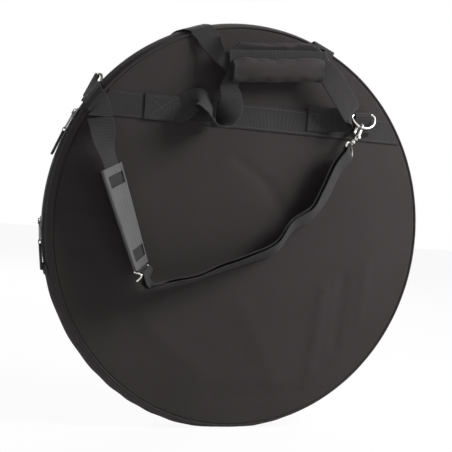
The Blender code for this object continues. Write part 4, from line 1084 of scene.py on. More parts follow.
# The wrap: foam in polyester, bound at both ends. Its tall flap stands behind the webbing, its lower
# edge is rolled round it, and hook-and-loop inside the flap holds it shut.
wrap_voxel = 0.0022
wrap_pressure = 4.0
wrap_swell = 0.0024
wrap_flare = 0.006
wrap_sag = 0.0012
wrap_wave = 0.0005
corner_droop = 0.013
flap_lean = 0.0085
flap_wave = 0.0012
flap_ripple = 0.0006
binding_width = 0.011
binding_thickness = 0.0016
binding_stand = 0.0007
binding_inset_share = 0.028
flap_cord_radius = 0.0030
flap_cord_drop = 0.0010
hook_strip_height = 0.0150
hook_strip_thickness = 0.0016
hook_strip_stand = 0.0020
hook_pitch = 0.0013


def closed_path(points, count):
    """Catmull-Rom curve round a closed loop of points."""
    points = np.asarray(points, float)
    places = np.linspace(0, len(points), count, endpoint=False)
    first = places.astype(int)
    a, b, c, d = (points[(first + shift) % len(points)] for shift in (-1, 0, 1, 2))
    return cubic(a, b, c, d, (places - first)[:, None])


def wire(points, radii, normal, around=False, count=120, sides=18):
    """Round wire in one plane: at each point of the path a circle between the normal and sideways.

    radii is one radius, or several that are spread evenly along the path.
    """
    path = closed_path(points, count) if around else smooth_path(points, count)
    along = np.roll(path, -1, axis=0) - np.roll(path, 1, axis=0) if around else np.gradient(path, axis=0)
    sideways = unit(np.cross(unit(along), normal))
    turn = np.linspace(0, math.tau, sides, endpoint=False)
    radii = np.atleast_1d(radii)
    radii = np.interp(np.linspace(0, 1, count), np.linspace(0, 1, len(radii)), radii)
    over, aside = np.cos(turn)[None, :, None], np.sin(turn)[None, :, None]
    circle = over * np.asarray(normal) + aside * sideways[:, None]
    return path[:, None] + radii[:, None, None] * circle


def grip_outline():
    """Closed outline of the wrap's section: a line at half the wall on both sides, with round ends."""
    columns = 64
    half = grip_wall / 2
    middle = grip_bore / 2 + half
    turn = np.linspace(0, math.pi, 7)
    flap_shares = ((1, 1), (1.04, 0.6), (1, 0.25), (1, 0))
    line = [(-middle * out, grip_flap * up) for out, up in flap_shares]
    line += [(-middle * math.cos(a), -grip_drop - middle * math.sin(a)) for a in turn]
    line += [(middle * 1.30, 0), (middle * 0.80, grip_rise)]
    line = smooth_path(line, columns)
    step = unit(np.gradient(line, axis=0))
    sideways = np.stack((-step[:, 1], step[:, 0]), axis=1)
    share = np.linspace(0, 1, columns)[:, None]
    swell = 0.94
    for height, place, reach in ((0.50, 0.10, 0.08), (0.45, 0.80, 0.13)):
        swell = swell + height * np.exp(-(((share - place) / reach) ** 2))
    caps = np.radians((55, 20, -20, -55))
    end, start = (step[at] * np.cos(caps)[:, None] + sideways[at] * np.sin(caps)[:, None] for at in (-1, 0))
    return np.concatenate((line + sideways * swell * half, line[-1] + end * half,
                           (line - sideways * swell * half)[::-1], line[0] - start * half))


def swollen(thing, voxel, pressure, cap, hold):
    """Remesh a padded piece, blow it up as cloth for 20 frames, and move each point by at most cap.

    hold(points) is the share of the movement that is kept at each point, from 0 to 1.
    """
    remesh = thing.modifiers.new("remesh", "REMESH")
    remesh.mode = "VOXEL"
    remesh.voxel_size = voxel
    bpy.context.view_layer.objects.active = thing
    bpy.ops.object.modifier_apply(modifier="remesh")
    mesh = thing.data
    rest = np.zeros(len(mesh.vertices) * 3)
    mesh.vertices.foreach_get("co", rest)
    rest = rest.reshape(-1, 3)
    moved = rest
    cloth = thing.modifiers.new("cloth", "CLOTH")
    cloth.settings.use_pressure = True
    cloth.settings.uniform_pressure_force = pressure
    cloth.settings.effector_weights.gravity = 0
    cloth.settings.bending_stiffness = 0.5
    for number in range(1, 21):
        bpy.context.scene.frame_set(number)
    graph = bpy.context.evaluated_depsgraph_get()
    blown = thing.evaluated_get(graph).to_mesh()
    moved = np.zeros(len(blown.vertices) * 3)
    blown.vertices.foreach_get("co", moved)
    moved = moved.reshape(-1, 3)
    thing.modifiers.remove(cloth)
    bpy.context.scene.frame_set(1)
    shift = moved - rest
    size = np.linalg.norm(shift, axis=1, keepdims=True)
    shift *= np.minimum(1, cap / np.maximum(size, 0.000001)) * hold(rest)[:, None]
    mesh.vertices.foreach_set("co", (rest + shift).astype(np.float32).ravel())
    mesh.update()
    mesh.shade_smooth()
    smooth = thing.modifiers.new("round", "SUBSURF")
    smooth.levels = smooth.render_levels = 1


def wrap_place(shares, spots):
    """Grid of the wrap from shares of its length and (out, up) spots.

    The flap's corners slope down at both ends, its right end flares, and the wrap sags in the middle.
    """
    share = shares[:, None]
    out, up = spots[None, :, 0], spots[None, :, 1]
    crest = np.clip(up / grip_flap, 0, 1)
    flare = wrap_flare * crest * np.clip((share - 0.15) / 0.35, 0, 1) ** 2
    droop = corner_droop * crest * np.clip((np.abs(2 * share) - 0.78) / 0.22, 0, 1)
    droop = droop + wrap_sag * np.cos(share * math.pi) ** 2
    waves = flap_wave * np.sin(share * 6 + 0.6) + flap_ripple * np.sin(share * 22)
    lean = crest * (flap_lean * crest + waves)
    along = share * grip_length + flare
    return (grip_middle + along[:, :, None] * grip_along + (out + lean)[:, :, None] * outward
            + (up - droop + wrap_wave * np.sin(share * 31))[:, :, None] * grip_up)


def grip_hold(points):
    """1 along the wrap, and 0 at its bound ends."""
    share = np.abs((points - grip_middle) @ grip_along) / (grip_length / 2)
    return 1 - np.clip(share, 0, 1) ** 6


outline = grip_outline()
wrap_parts = ((-0.5, -0.46, 6), (-0.44, 0.44, 60), (0.46, 0.5, 6))
wrap_shares = np.concatenate([np.linspace(*part) for part in wrap_parts])
wrap_grid = wrap_place(wrap_shares, outline)
wrap = surface("grip_wrap_padding", wrap_grid, charcoal, "carry_handle", ("grip_wrap",))
swollen(wrap, wrap_voxel, wrap_pressure, wrap_swell, grip_hold)


def grip_binding(name, end):
    """Bias tape folded over one end of the wrap: its section is carried round the outline."""
    step = unit(np.roll(outline, -1, axis=0) - np.roll(outline, 1, axis=0))
    normal = np.stack((step[:, 1], -step[:, 0]), axis=1)
    wide, high = section(binding_width, binding_thickness)
    columns = []
    for along, rise in zip(wide, high + binding_stand):
        place = np.array((end * 0.5 - end * binding_inset_share + along / grip_length,))
        columns.append(wrap_place(place, outline + normal * rise)[0])
    surface(name, np.stack(columns, axis=1), tape_finish, "carry_handle", around=True)


grip_binding("grip_binding_left", -1)
grip_binding("grip_binding_right", 1)
flap_edge = np.array(((-grip_bore / 2 - grip_wall / 2, grip_flap - flap_cord_drop),))
edge_run = wrap_place(np.linspace(-0.492, 0.492, 60), flap_edge)[:, 0]
surface("grip_flap_binding", wire(edge_run, flap_cord_radius, grip_up, count=140, sides=16), charcoal_wrapped,
        "carry_handle")


def hook_and_loop():
    """Short stiff hooks in rows on a woven tape, dull and very rough."""
    finish = Finish("hook_and_loop", 0.95, Specular_IOR_Level=0.2)
    x, y, _ = finish.places("UV")
    hooks = (x * (math.pi / hook_pitch)).sine().size() * (y * (math.pi / hook_pitch)).sine().size()
    fuzz = finish.speckle(800.0, 3.0)
    finish.wear(finish.colours(hooks * 0.6 + fuzz * 0.4, (0.012, 0.011, 0.013), (0.050, 0.047, 0.052)),
                0.9 + fuzz * 0.08, hooks + fuzz * 0.3, 0.0006)
    return finish.material


def hook_strip():
    """Strip of hooks on the inner face of the flap: a thin slab with its nap in small waves."""
    across, out = section(hook_strip_height, hook_strip_thickness)
    base = -grip_bore / 2 + fit_gap + hook_strip_stand
    high = grip_flap - grip_wall / 2 - hook_strip_height / 2
    shares = np.linspace(-0.44, 0.44, 90)
    grid = wrap_place(shares, np.stack((base + out, high + across), axis=1))
    nap = 0.0001 * np.sin(shares * 900)[:, None] * np.sin(across * 5000)[None, :]
    surface("grip_hook_strip", grid + nap[:, :, None] * outward, hook_and_loop(), "carry_handle",
            ("grip_hook_tape",))


hook_strip()

# Rings, hooks, eyes and adjuster: nickel-plated wire and castings, polished and lightly worn. Each ring
# hangs in a chape, a turn of webbing that is sewn to its band, and each hook turns on its eye's stem.
wire_radius = 0.0020
ring_half = 0.020
ring_bow = 0.024
ring_tilt = math.radians(31)
rear_tilt = math.radians(14)
rear_heading = math.radians(155)
chape_width = 0.030
chape_length = 0.031
hook_wire = 0.0019
hook_reach = 0.0055 + hook_wire
hook_collar = 3.75 * hook_reach
eye_reach = 0.044
eye_half = webbing_width / 2 + wire_radius + 0.001
ring_off = on_band + webbing_thickness / 2 + 3 * fit_gap + wire_radius
wire_turn = wire_radius + fit_gap + webbing_thickness / 2
bow_drop = 2 * wire_radius
bow_rise = ring_bow - bow_drop


def polished_nickel():
    """Bright plating: fine scratches along the wire, dull smudges, and dark film in some patches."""
    finish = Finish("nickel", 0.2, Metallic=1.0)
    scratches = finish.speckle(60.0, 2.0, source="UV", stretch=(1, 24, 1))
    smudge = finish.speckle(90.0, 3.0)
    film = finish.speckle(400.0, 2.0)
    finish.wear(finish.colours(smudge * 0.7 + film * 0.3, (0.42, 0.41, 0.39), (0.80, 0.79, 0.76)),
                0.13 + smudge * 0.16 + scratches * 0.08, scratches * 0.5 + film * 0.5, 0.00004)
    return finish.material


nickel_finish = polished_nickel()


def local(origin, axes, spots):
    """Points in place from their shares of three directions."""
    return origin + np.asarray(spots, float) @ np.array(axes)


def ring(name, bar, bar_direction, droop, body):
    """D ring: a straight bar and a bow, half an ellipse, as one closed wire."""
    flat = [(share * (ring_half - bow_drop), 0) for share in np.linspace(-1, 1, 5)]
    turn = np.linspace(0, math.pi, 15)
    bow = list(zip(ring_half * np.cos(turn), bow_drop + bow_rise * np.sin(turn)))
    path = [bar + bar_direction * x + droop * depth for x, depth in flat + bow]
    grid = wire(path, wire_radius, np.cross(bar_direction, droop), True, 144)
    surface(name + "_wire", grid, nickel_finish, body, (name,), around=True)


def half_turn(bar, reach, start, over, across, count):
    """Stations of webbing that turns half round a bar, from its start side by way of its over side."""
    return [(bar + reach * (start * math.cos(turn) + over * math.sin(turn)), across)
            for turn in np.linspace(0, math.pi, count)]


def chape(name, bar, bar_direction, toward, stand, body):
    """Turn of webbing: flat on the band, half round the ring's bar, and back down onto itself."""
    sewn = stand * (webbing_thickness + fit_gap - 2 * wire_turn)
    back, front = bar - stand * wire_turn, bar + stand * wire_turn
    reaches = (chape_length, chape_length / 2, wire_turn, 0)
    stations = [(back + toward * reach, bar_direction) for reach in reaches]
    stations += half_turn(bar, wire_turn, -stand, -toward, bar_direction, 9)[1:-1]
    stations += [(front, bar_direction), (front + toward * wire_turn, bar_direction)]
    for share, shut in ((0.35, 0.4), (0.65, 1), (0.9, 1)):
        stations.append((front + toward * chape_length * share + sewn * shut, bar_direction))
    webbing(name + "_webbing", stations, 150, body, (name,), width=chape_width)
    sheet = front + sewn + stand * webbing_thickness / 2
    corners = [sheet + toward * chape_length * share + bar_direction * chape_width * side
               for share, side in ((0.50, -0.42), (0.50, 0.42), (0.84, 0.42), (0.84, -0.42))]
    stitches(name + "_box", [(row, stand) for row in crossed(corners, 30)], body)


def rounded_block(low, high, edge):
    """Block with round edges: at each end its rounded rectangle shrinks by a quarter circle."""
    low, high = np.array(low, float), np.array(high, float)
    middle, half = (low + high) / 2, (high - low) / 2
    turn = np.radians(np.arange(0, 360, 90)[:, None] + np.array((0, 30, 60, 90))).ravel()
    corner = np.repeat(((1, 1), (-1, 1), (-1, -1), (1, -1)), 4, axis=0) * (half[1:] - edge)
    lean = np.radians((90, 60, 30, 0, 0, 30, 60, 90))
    along = np.array((-1, -1, -1, -1, 1, 1, 1, 1)) * (half[0] - edge * (1 - np.sin(lean)))
    circle = np.stack((np.cos(turn), np.sin(turn)), axis=1)
    ring = corner[None] + edge * np.cos(lean)[:, None, None] * circle[None]
    rows = np.broadcast_to((middle[0] + along)[:, None, None], (8, 16, 1))
    return np.concatenate((rows, middle[1:] + ring), axis=2)


spine_shares = ((0.9, -0.98), (1.5, -0.75), (1.9, -0.25), (2.3, 0), (3.2, 0), (3.22, 0), (3.75, 0))
stout_shares = ((0.8,) + 14 * (1,) + (1.03, 1.06, 1.1, 1.15, 1.2, 1.3, 1.4, 1.5, 1.6, 1.65)
                + (1.7, 1.7, 1.7, 1.5, 1.4, 2.1, 2.1))
barrel_along_shares = (3.18, 3.18, 3.24, 3.35, 3.6, 3.7, 3.75, 3.75)
barrel_stout_shares = (0.9, 1.9, 2.15, 2.2, 2.2, 2.15, 1.9, 0.9)
rod_shares = ((0.2 + hook_wire / hook_reach, 1), (0.7, 1), (1.2, 1), (1.9, 1), (2.2, 1.04), (2.33, 1.2),
              (2.35, 1.45), (2.35, 1.65))
rod_stout_shares = (0.8, 1.25, 1.65, 1.75, 1.6, 1.3, 1.2, 1.3)


def swivel_hook(name, origin, axes, roll):
    """Trigger hook: a bow that thickens to a spine, the sprung bolt beside it, a web and a barrel."""
    along, level, upright = axes
    side = level * math.cos(roll) + upright * math.sin(roll)
    wide = upright * math.cos(roll) - level * math.sin(roll)
    axes = (along, side, wide)
    reach = hook_reach
    turn = np.linspace(-0.2, math.pi, 25)
    path = list(zip(-reach * np.sin(turn), reach * np.cos(turn), 0 * turn))
    path += [(reach * down, reach * aside, 0) for down, aside in spine_shares]
    bend = wire(local(origin, axes, path), np.array(stout_shares) * hook_wire, wide, count=160)
    turn = np.linspace(0, math.tau, 28, endpoint=False)
    stout = (np.array(barrel_stout_shares) * hook_wire)[:, None]
    down = (np.array(barrel_along_shares) * reach)[:, None]
    barrel = np.stack(np.broadcast_arrays(down, stout * np.cos(turn), stout * np.sin(turn)), axis=-1)
    web = rounded_block((reach * 1.8, reach * -0.3, -hook_wire * 1.7),
                        (reach * 3.0, reach * 0.85, hook_wire * 1.7), hook_wire * 0.8)
    casting = [bend, local(origin, axes, barrel), local(origin, axes, web)]
    surface(name + "_casting", casting, nickel_finish, name, (name,))
    rod = [(reach * down, reach * aside, 0) for down, aside in rod_shares]
    shaft = wire(local(origin, axes, rod), np.array(rod_stout_shares) * hook_wire, wide, count=60)
    surface(name + "_bolt_rod", shaft, nickel_finish, name + "_bolt", (name + "_bolt",))


def hook_eye(name, origin, pull, wide, body):
    """Eye of the swivel: a wire loop as wide as the webbing and the stem that the barrel turns on."""
    neck = hook_collar + fit_gap + 2 * wire_radius
    side = [(neck + (eye_reach - neck) * down, eye_half * out)
            for down, out in ((0.03, 0.07), (0.12, 0.45), (0.28, 0.80), (0.55, 1), (0.88, 1))]
    half = side + [(eye_reach, eye_half * share) for share in (0.92, 0.6, 0.3)]
    path = half + [(eye_reach, 0)] + [(along, -out) for along, out in half[::-1]]
    normal = np.cross(pull, wide)
    loop = wire([origin + pull * along + wide * out for along, out in path], wire_radius, normal, True, 160)
    stem = wire([origin + pull * along for along in (hook_collar + fit_gap, neck - wire_radius / 2, neck)],
                0.8 * wire_radius, normal, count=8)
    surface(name + "_loop", loop, nickel_finish, body, (name,), around=True)
    surface(name + "_stem", stem, nickel_finish, body, (name,))


strap_start = np.array((-0.8194 * panel_radius, 0, rest_height + 0.4866 * panel_radius))
ring_bar = before(0.607, 0.6321, ring_off)
strap_start[1] = ring_bar[1]
swing_axis = unit(ring_bar - strap_start)
hang = np.cross(swing_axis, outward)
hang = hang * -np.sign(hang[2])
ring_droop = unit(hang * math.cos(ring_tilt) + outward * math.sin(ring_tilt))
ring("front_d_ring", ring_bar, swing_axis, ring_droop, "front_d_ring")
chape("front_d_ring_chape", ring_bar, swing_axis,
      along_face(0.607 * panel_radius, 0.6321 * panel_radius, hang, outward), outward, "front_cover")

front_pull = unit(np.array((-0.45, -0.155, -0.90)))
bow_turn = math.atan2(front_pull @ ring_droop * bow_rise, front_pull @ swing_axis * ring_half)
hang_point = (ring_bar + swing_axis * ring_half * math.cos(bow_turn)
              + ring_droop * (bow_drop + bow_rise * math.sin(bow_turn)))
bow_tangent = unit(-swing_axis * ring_half * math.sin(bow_turn) + ring_droop * bow_rise * math.cos(bow_turn))
front_pull = unit(front_pull - bow_tangent * (front_pull @ bow_tangent))
hang_gap = hook_reach - hook_wire - wire_radius - fit_gap
hook_centre = hang_point + front_pull * hang_gap
bolt_side = np.cross(front_pull, bow_tangent)
bolt_side = bolt_side * np.sign(bolt_side @ outward)
swivel_hook("front_hook", hook_centre, (front_pull, bolt_side, np.cross(front_pull, bolt_side)),
            math.radians(-22))
edge_turn = math.radians(47)
edge_on = np.array((-math.sin(edge_turn), -math.cos(edge_turn), 0))
eye_bar = hook_centre + front_pull * eye_reach
eye_wide = unit(edge_on - front_pull * (edge_on @ front_pull))
hook_eye("front_hook_eye", hook_centre, front_pull, eye_wide, "shoulder_strap")

rear_level = np.array((math.cos(rear_heading), 0, math.sin(rear_heading)))
rear_wide = np.cross(rear_level, behind)
rear_wide = rear_wide * -np.sign(rear_wide[2])
rear_bar = after(-0.593, 0.5428, ring_off)
rear_droop = rear_level * math.cos(rear_tilt) + behind * math.sin(rear_tilt)
rear_pull = unit(rear_level - behind * math.sin(rear_tilt) * 0.45)
rear_centre = rear_bar + rear_droop * ring_bow + rear_pull * hang_gap
rear_eye_bar = rear_centre + rear_pull * eye_reach
rear_side = unit(behind - rear_pull * (behind @ rear_pull))
ring("rear_d_ring", rear_bar, rear_wide, rear_droop, "rear_d_ring")
chape("rear_d_ring_chape", rear_bar, rear_wide,
      along_face(-0.593 * panel_radius, 0.5428 * panel_radius, -rear_level, behind), behind, "back_shell")
swivel_hook("rear_hook", rear_centre, (rear_pull, rear_side, np.cross(rear_pull, rear_side)), 0.0)
hook_eye("rear_hook_eye", rear_centre, rear_pull, rear_wide, "back_shell")

# Shoulder strap: one length of webbing. Its rear end is turned round the rear eye; it comes over the
# left rim, down through the pad and the adjuster, round the front eye and back to the adjuster.
strap_angle = math.radians(146.5)
strap_drift = math.radians(-2.5)
strap_heading = np.array((0.369, 0, -0.929))
strap_side = np.array((-0.929, 0, -0.369))
strap_turn = math.radians(49)
lead_turn = math.radians(85)
pad_length = 0.150
pad_width = 0.054
pad_clear = 0.003
pad_travel = 0.036
bar_radius = 0.0015
adjuster_half = 0.0065
strap_depth = rim_depth + panel_crown + pad_width / 2 * math.cos(strap_turn) + pad_clear
pad_top = np.array((-0.765 * panel_radius, -strap_depth, rest_height + 0.2555 * panel_radius))


def strap_across(share):
    """Direction across the strap at a share of the pad's length.

    Above the pad it lies flat on the bag, and below it turns edge-on to the camera.
    """
    turn = np.radians(np.interp(share, (-0.5, -0.30, -0.107, 1), (85, 79, 52, 39)))
    return np.sin(turn)[..., None] * strap_side + np.cos(turn)[..., None] * outward


strap_facing = strap_across(1.0)
strap_normal = np.cross(strap_heading, strap_facing)
adjuster_place = (pad_top + strap_heading * (pad_length + adjuster_half + bar_radius + fit_gap)
                  + outward * pad_clear)
lower_run_shares = (
    (0.0165, 0.08, 0.0349, 2.0), (0.0575, 0.18, 0.0682, 2.0), (0.114, 0.18, 0.0912, 1.9),
    (0.2391, 0.08, 0.1515, 1.7), (0.3634, 0, 0.1864, 2.2), (0.4876, 0, 0.2222, 2.2), (0.6514, 0, 0.2586, 1.9),
    (0.7324, 0, 0.2038, 1.7), (0.835, 0, 0.2027, 2.2), (0.8971, 0, 0.1448, 2.2), (0.9526, 0, 0.0544, 2.6),
)
layer_step = webbing_thickness + 2 * fit_gap
bar_turn = bar_radius + fit_gap + webbing_thickness / 2
bar_stand = 3 * webbing_thickness / 2 + 2 * fit_gap + bar_radius
centre_bar = adjuster_place - strap_normal * bar_stand
lead_across = strap_across(-0.5)
lead_end = pad_top - strap_heading * pad_travel
lead_start = strap_start - np.array((0, 0, webbing_thickness))
straight_end = adjuster_place + strap_heading * (adjuster_half + 3 * bar_radius)
down = [(lead_start, lead_across), ((lead_start * 2 + lead_end) / 3 + outward * pad_clear, lead_across),
        (lead_end, strap_across(-0.24))]
down += [(pad_top + strap_heading * pad_length * share + outward * pad_clear * max(0, share) ** 2,
          strap_across(share)) for share in (-0.107, 0, 0.25, 0.5, 0.75, 1.0)]
down += [(adjuster_place, strap_facing), (straight_end, strap_facing)]
way = (eye_bar - straight_end) * (1, 0, 1)
outer = [straight_end * (1, 0, 1) + outward * (strap_depth + off * webbing_width) + way * along
         - np.array((0, 0, drop * way[0])) for along, off, drop, _ in lower_run_shares]
heading = unit(np.gradient(np.array([straight_end] + outer + [eye_bar]), axis=0))[1:-1]
facing = unit(edge_on - heading * (heading @ edge_on)[:, None])
inner = [point - np.cross(along, across) * layer_step * row[3]
         for point, along, across, row in zip(outer, heading, facing, lower_run_shares)]
eye_side = np.cross(-front_pull, eye_wide)
round_eye = [(eye_bar + wire_turn * (eye_side + 2 * front_pull), eye_wide)]
round_eye += half_turn(eye_bar, wire_turn, eye_side, -front_pull, eye_wide, 7)
round_eye.append((eye_bar + wire_turn * (2 * front_pull - eye_side), eye_wide))
round_bar = [(centre_bar + bar_turn * (2 * strap_heading - strap_normal), strap_facing)]
round_bar += half_turn(centre_bar, bar_turn, -strap_normal, -strap_heading, strap_facing, 6)
round_bar += [(centre_bar + bar_turn * (reach * strap_heading + strap_normal), strap_facing)
              for reach in (1, 3.5)]
strap_run = down + list(zip(outer, facing)) + round_eye + list(zip(inner, facing))[::-1] + round_bar
webbing("shoulder_strap_webbing", strap_run, 1000,
        ("front_cover", "shoulder_strap", tuple(lead_start), tuple(lead_start - np.array((0, 0, 0.018)))),
        ("strap_front",))

turn = strap_angle + strap_drift
rim_across = np.array((-math.sin(turn), 0, math.cos(turn)))
tail = [(rear_eye_bar - wire_turn * (rear_level * level + behind * deep), rear_wide) for level, deep in
        ((0.2, 2.2), (0.7, 1))]
tail += half_turn(rear_eye_bar, wire_turn, -rear_level, behind, rear_wide, 7)
tail.append((rear_eye_bar + wire_turn * (rear_level - 2 * behind), rear_wide))
tail.append((polar(rim_over, turn, hem_offset), rim_across))
rim_end = (strap_start + np.array((0, 0, fit_gap)),
           outward * math.cos(lead_turn) - (math.sin(lead_turn), 0, 0))
webbing("strap_over_rim_webbing", tail + over_rim(strap_angle, strap_drift, -1) + [rim_end], 260, rim_blend,
        ("strap_back", "strap_over_rim"), square=False)


def adjuster():
    """Slide adjuster: two bowed rails and three cross bars of wire."""
    rail_out = webbing_width / 2 + fit_gap + bar_radius
    end_stand = webbing_thickness / 2 + 4 * fit_gap + bar_radius
    axes = (strap_heading, strap_facing, -strap_normal)
    spots = ((-1, -end_stand), (-0.5, bar_stand / 2), (0, bar_stand), (0.5, bar_stand / 2), (1, -end_stand))
    parts = []
    for out in (-rail_out, rail_out):
        rail = [(adjuster_half * along, out, stand) for along, stand in spots]
        parts.append(wire(local(adjuster_place, axes, rail), bar_radius, strap_facing, count=40, sides=16))
    for along, stand in (spots[0], spots[2], spots[4]):
        bar = [(adjuster_half * along, share * rail_out, stand) for share in (-1, 0, 1)]
        parts.append(wire(local(adjuster_place, axes, bar), bar_radius, strap_heading, count=24, sides=16))
    surface("strap_adjuster_slide", parts, nickel_finish, "shoulder_strap", ("strap_adjuster",))


adjuster()

# Shoulder pad: a moulded rubber sleeve with lengthwise ribs, threaded on the strap. Near each end a
# window is open to the webbing inside it.
pad_front = 0.0024
pad_rib = 0.0008
pad_back = 0.0022
pad_end_share = 0.012
pad_draw_share = 0.05
window_share = 0.135
window_half_long = 0.0085
window_half_wide = 0.0205
window_deep = 0.012
window_round = 0.0012
tunnel_out = webbing_width / 2 + 0.0010
tunnel_high = webbing_thickness / 2 + 0.0011


def moulded_rubber():
    """Grey rubber: fine grain, dust in the grooves, short dark scuffs that run along the pad."""
    finish = Finish("pad_rubber", 0.6, Specular_IOR_Level=0.35)
    grain = finish.speckle(900.0, 3.0)
    cloud = finish.speckle(22.0, 3.0)
    scuffs = finish.speckle(75.0, 2.0, stretch=(1.0, 1.0, 0.30)).within(0.58, 0.70)
    share = grain * 0.35 + cloud * 0.50 + 0.16 - scuffs * 0.22
    finish.wear(finish.colours(share.within(0.0, 1.0), (0.026, 0.026, 0.027), (0.112, 0.111, 0.112)),
                0.50 + grain * 0.22, grain * 0.8 + scuffs * 0.4, 0.00012)
    return finish.material


def pad_sleeve():
    """Outer skin: the section's front is a row of soft ribs, its sides are round, its back is flat."""
    half = pad_width / 2
    across = np.linspace(-1, 1, 121)
    groove = 0.5 + 0.5 * np.tanh(4 * np.cos(across * 6 * math.pi + math.pi * 7))
    front = pad_front + pad_rib * groove * np.clip((1 - np.abs(across)) * 12, 0, 1)
    edge = np.radians(np.linspace(80, -80, 9))
    side_out = (pad_front - pad_back) / 2 + (pad_front + pad_back) / 2 * np.sin(edge)
    side_across = half - pad_front / 2 + pad_front / 2 * np.cos(edge)
    flat_half = half - pad_front / 2
    wide = np.concatenate((across * flat_half, side_across, flat_half * across[::-4], -side_across[::-1]))
    high = np.concatenate((front, side_out, np.full(len(across[::-4]), -pad_back), side_out[::-1]))
    parts = ((0, pad_end_share, 6), (0.03, 0.97, 60), (1 - pad_end_share, 1, 6))
    share = np.concatenate([np.linspace(*part) for part in parts])
    inset = np.clip(1 - np.minimum(share, 1 - share) / pad_end_share, 0, 1)
    draw = (1 - pad_draw_share * (1 - np.sqrt(1 - inset**2)))[:, None]
    spots = np.broadcast_arrays(pad_length * share[:, None], draw * wide, (0.6 + 0.4 * draw) * high)
    return sleeve_place(np.stack(spots, axis=-1))


def sleeve_place(spots):
    """Points of the sleeve from (along, across, out): the section turns with the strap inside it."""
    share = spots[..., 0] / pad_length
    across = strap_across(share)
    stand = np.cross(across, strap_heading)
    lift = pad_clear * np.maximum(0, share) ** 2
    return (pad_top + spots[..., :1] * strap_heading + spots[..., 1:2] * across + spots[..., 2:] * stand
            + lift[..., None] * outward)


def cut(thing, grid):
    """Take one closed solid out of a piece with an exact boolean."""
    tool = bpy.data.meshes.new("cutter")
    spots, quads, _ = cells(grid, False, True)
    tool.from_pydata(spots.tolist(), [], [list(quad) for quad in quads])
    cleaned(tool)
    holder = bpy.data.objects.new("cutter", tool)
    bpy.context.scene.collection.objects.link(holder)
    step = thing.modifiers.new("cut", "BOOLEAN")
    step.operation = "DIFFERENCE"
    step.solver = "EXACT"
    step.object = holder
    bpy.context.view_layer.objects.active = thing
    bpy.ops.object.modifier_apply(modifier="cut")
    bpy.data.objects.remove(holder, do_unlink=True)
    thing.data.shade_smooth()
    thing.data.set_sharp_from_angle(angle=math.radians(38))


pad = surface("shoulder_pad_sleeve", pad_sleeve(), moulded_rubber(), "shoulder_pad", ("shoulder_pad",))
tunnel_run = np.linspace(-pad_clear, pad_length + pad_clear, 60)[:, None]
tunnel = np.broadcast_arrays(tunnel_run, *section(2 * tunnel_out, 2 * tunnel_high))
cut(pad, sleeve_place(np.stack(tunnel, axis=-1)))
for share in (window_share, 1 - window_share):
    middle = pad_length * share
    window = rounded_block((middle - window_half_long, -window_half_wide, 0),
                           (middle + window_half_long, window_half_wide, window_deep), window_round)
    cut(pad, sleeve_place(window))

# Zip sliders: die-cast and dark plated, one near each end of the zip's run. Each carries a flat pull in
# its crown, and a fabric tag is tied to the pull's end by a loop of cord.
slider_half = 0.0075
slider_front = 0.0052
slider_plate = 0.0014
slider_clear = 0.0004
slider_bottom = 0.0012
crown_half = 0.0047
crown_wall = 0.0013
crown_flat_share = 2.1
crown_rise = 0.0040
coil_far = coil_near + coil_width
slider_top = coil_top + slider_clear + slider_plate
slider_under = tape_outer - tape_thickness - slider_clear
pull_length = 0.030
pull_lean = math.radians(2.5)
pull_hole_place = pull_length - 0.0038
pull_hole_slack = 0.00075
tag_length = 0.038
tag_width = 0.0080
tag_thickness = 0.0025
tag_lean = math.radians(6)
tag_round = 0.0009
tag_stitch_share = 0.32
tag_stitch_end = 0.0015
cord_radius = 0.0006
loop_long = 0.0031
loop_half_wide = 0.0022
pull_round = 0.0003


def dark_plate():
    """Gunmetal plating: bright where fingers and the coils rub it, with a fine cast grain."""
    finish = Finish("slider_metal", 0.35, Metallic=1.0)
    grain = finish.speckle(900.0, 2.0)
    rub = finish.speckle(160.0, 2.0)
    finish.wear(finish.colours(rub * 0.8 + grain * 0.2, (0.07, 0.07, 0.075), (0.25, 0.245, 0.24)),
                0.26 + rub * 0.16 + grain * 0.08, grain, 0.00005)
    return finish.material


def rim_axes(angle, lean=0.0):
    """Directions at a place on the rim: along it, outwards, and to the back."""
    turn = angle + lean
    return (np.array((-math.sin(turn), 0, math.cos(turn))), np.array((math.cos(turn), 0, math.sin(turn))),
            behind)


def slider(name, angle, finish):
    """Plates over and under the coils, a neck between, a lip down the back, and a crown of wire."""
    axes = rim_axes(angle)
    centre = polar(0, 0, 0)
    blocks = (
        ((-1, slider_top - slider_plate, -slider_front),
         (1, slider_top, slider_front + slider_clear), 0.0006),
        ((-0.8, slider_under - slider_bottom, -slider_front), (0.8, slider_under, slider_front), 0.0005),
        ((0.5, slider_under - 0.0006, -0.0004), (0.75, slider_top - slider_plate / 2, 0.0004), 0.0003),
        ((-0.9, coil_base + slider_plate, coil_far + slider_clear),
         (0.9, slider_top - slider_plate / 2, slider_front + slider_clear / 2), 0.0001),
    )
    parts = []
    for low, high, edge in blocks:
        low, high = (low[0] * slider_half, *low[1:]), (high[0] * slider_half, *high[1:])
        parts.append(local(centre, axes, rounded_block(low, high, edge)))
    reach = crown_half - crown_wall / 2
    base, rise = slider_top - slider_plate / 2, slider_top + crown_rise - crown_wall / 2
    half_arch = [(reach, base, 0), (reach, (base + rise) / 2, 0), (reach * 0.85, rise, 0)]
    arch = [(-along, out, 0) for along, out, _ in half_arch] + [(0, rise, 0)] + half_arch[::-1]
    flat = axes[2] * crown_flat_share
    parts.append(wire(local(centre, axes, arch), crown_wall / 2, flat, count=40, sides=16))
    surface(name + "_body", parts, finish, name, (name,))


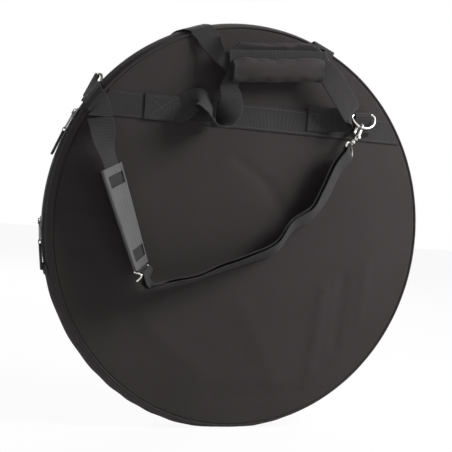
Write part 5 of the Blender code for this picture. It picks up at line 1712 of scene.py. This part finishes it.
def bevelled_copy(name, node, finish, body, width):
    """Copy of a CAD node: its loose triangles merged into flat faces, and each edge rounded."""
    shape = bmesh.new()
    shape.from_mesh(bpy.data.objects[node].data)
    bmesh.ops.remove_doubles(shape, verts=shape.verts, dist=merge_reach)
    bmesh.ops.dissolve_limit(shape, angle_limit=math.radians(2), verts=shape.verts, edges=shape.edges)
    mesh = bpy.data.meshes.new(name)
    shape.to_mesh(mesh)
    shape.free()
    thing = finished(name, mesh, finish, body, (node,))
    bevel = thing.modifiers.new("round", "BEVEL")
    bevel.width = width
    bevel.segments = 3
    bevel.limit_method = "ANGLE"
    bevel.angle_limit = math.radians(40)


def tag(name, angle):
    """Folded tape with stitched edges, and the cord that ties it to the pull."""
    hinge = (polar(slider_top + (crown_rise - crown_wall) / 2, angle, 0)
             + rim_axes(angle, pull_lean)[0] * (pull_hole_place + pull_hole_slack))
    axes = rim_axes(angle, tag_lean)
    start = 2 * loop_long - 2 * cord_radius
    last = start + tag_length
    block = rounded_block((start, -tag_thickness / 2, -tag_width / 2),
                          (last, tag_thickness / 2, tag_width / 2), tag_round)
    turn = np.arange(20) * math.tau / 20
    down = loop_long * (1 + np.cos(turn)) - cord_radius
    loop = np.stack((down, loop_half_wide * np.sin(turn), 0 * turn), axis=1)
    surface(name + "_tape", local(hinge, axes, block), charcoal_wrapped, name, (name,))
    surface(name + "_cord", wire(local(hinge, axes, loop), cord_radius, axes[2], True, 60, 12),
            charcoal_wrapped, name, around=True)
    deep = tag_thickness / 2 - thread_radius
    rows = []
    for face in (-1, 1):
        for side in (-tag_stitch_share, tag_stitch_share):
            run = np.linspace(start + tag_stitch_end, last - tag_stitch_end, 60)
            spots = np.stack(np.broadcast_arrays(run, face * deep, side * tag_width), axis=1)
            rows.append((local(hinge, axes, spots), face * axes[1]))
    stitches(name + "_stitches", rows, name)


plate_finish = dark_plate()
for name, angle in (("upper", math.radians(151.2)), ("lower", math.radians(181.7))):
    slider(name + "_slider", angle, plate_finish)
    bevelled_copy(name + "_pull_plate", name + "_pull", plate_finish, name + "_pull", pull_round)
    tag(name + "_tag", angle)
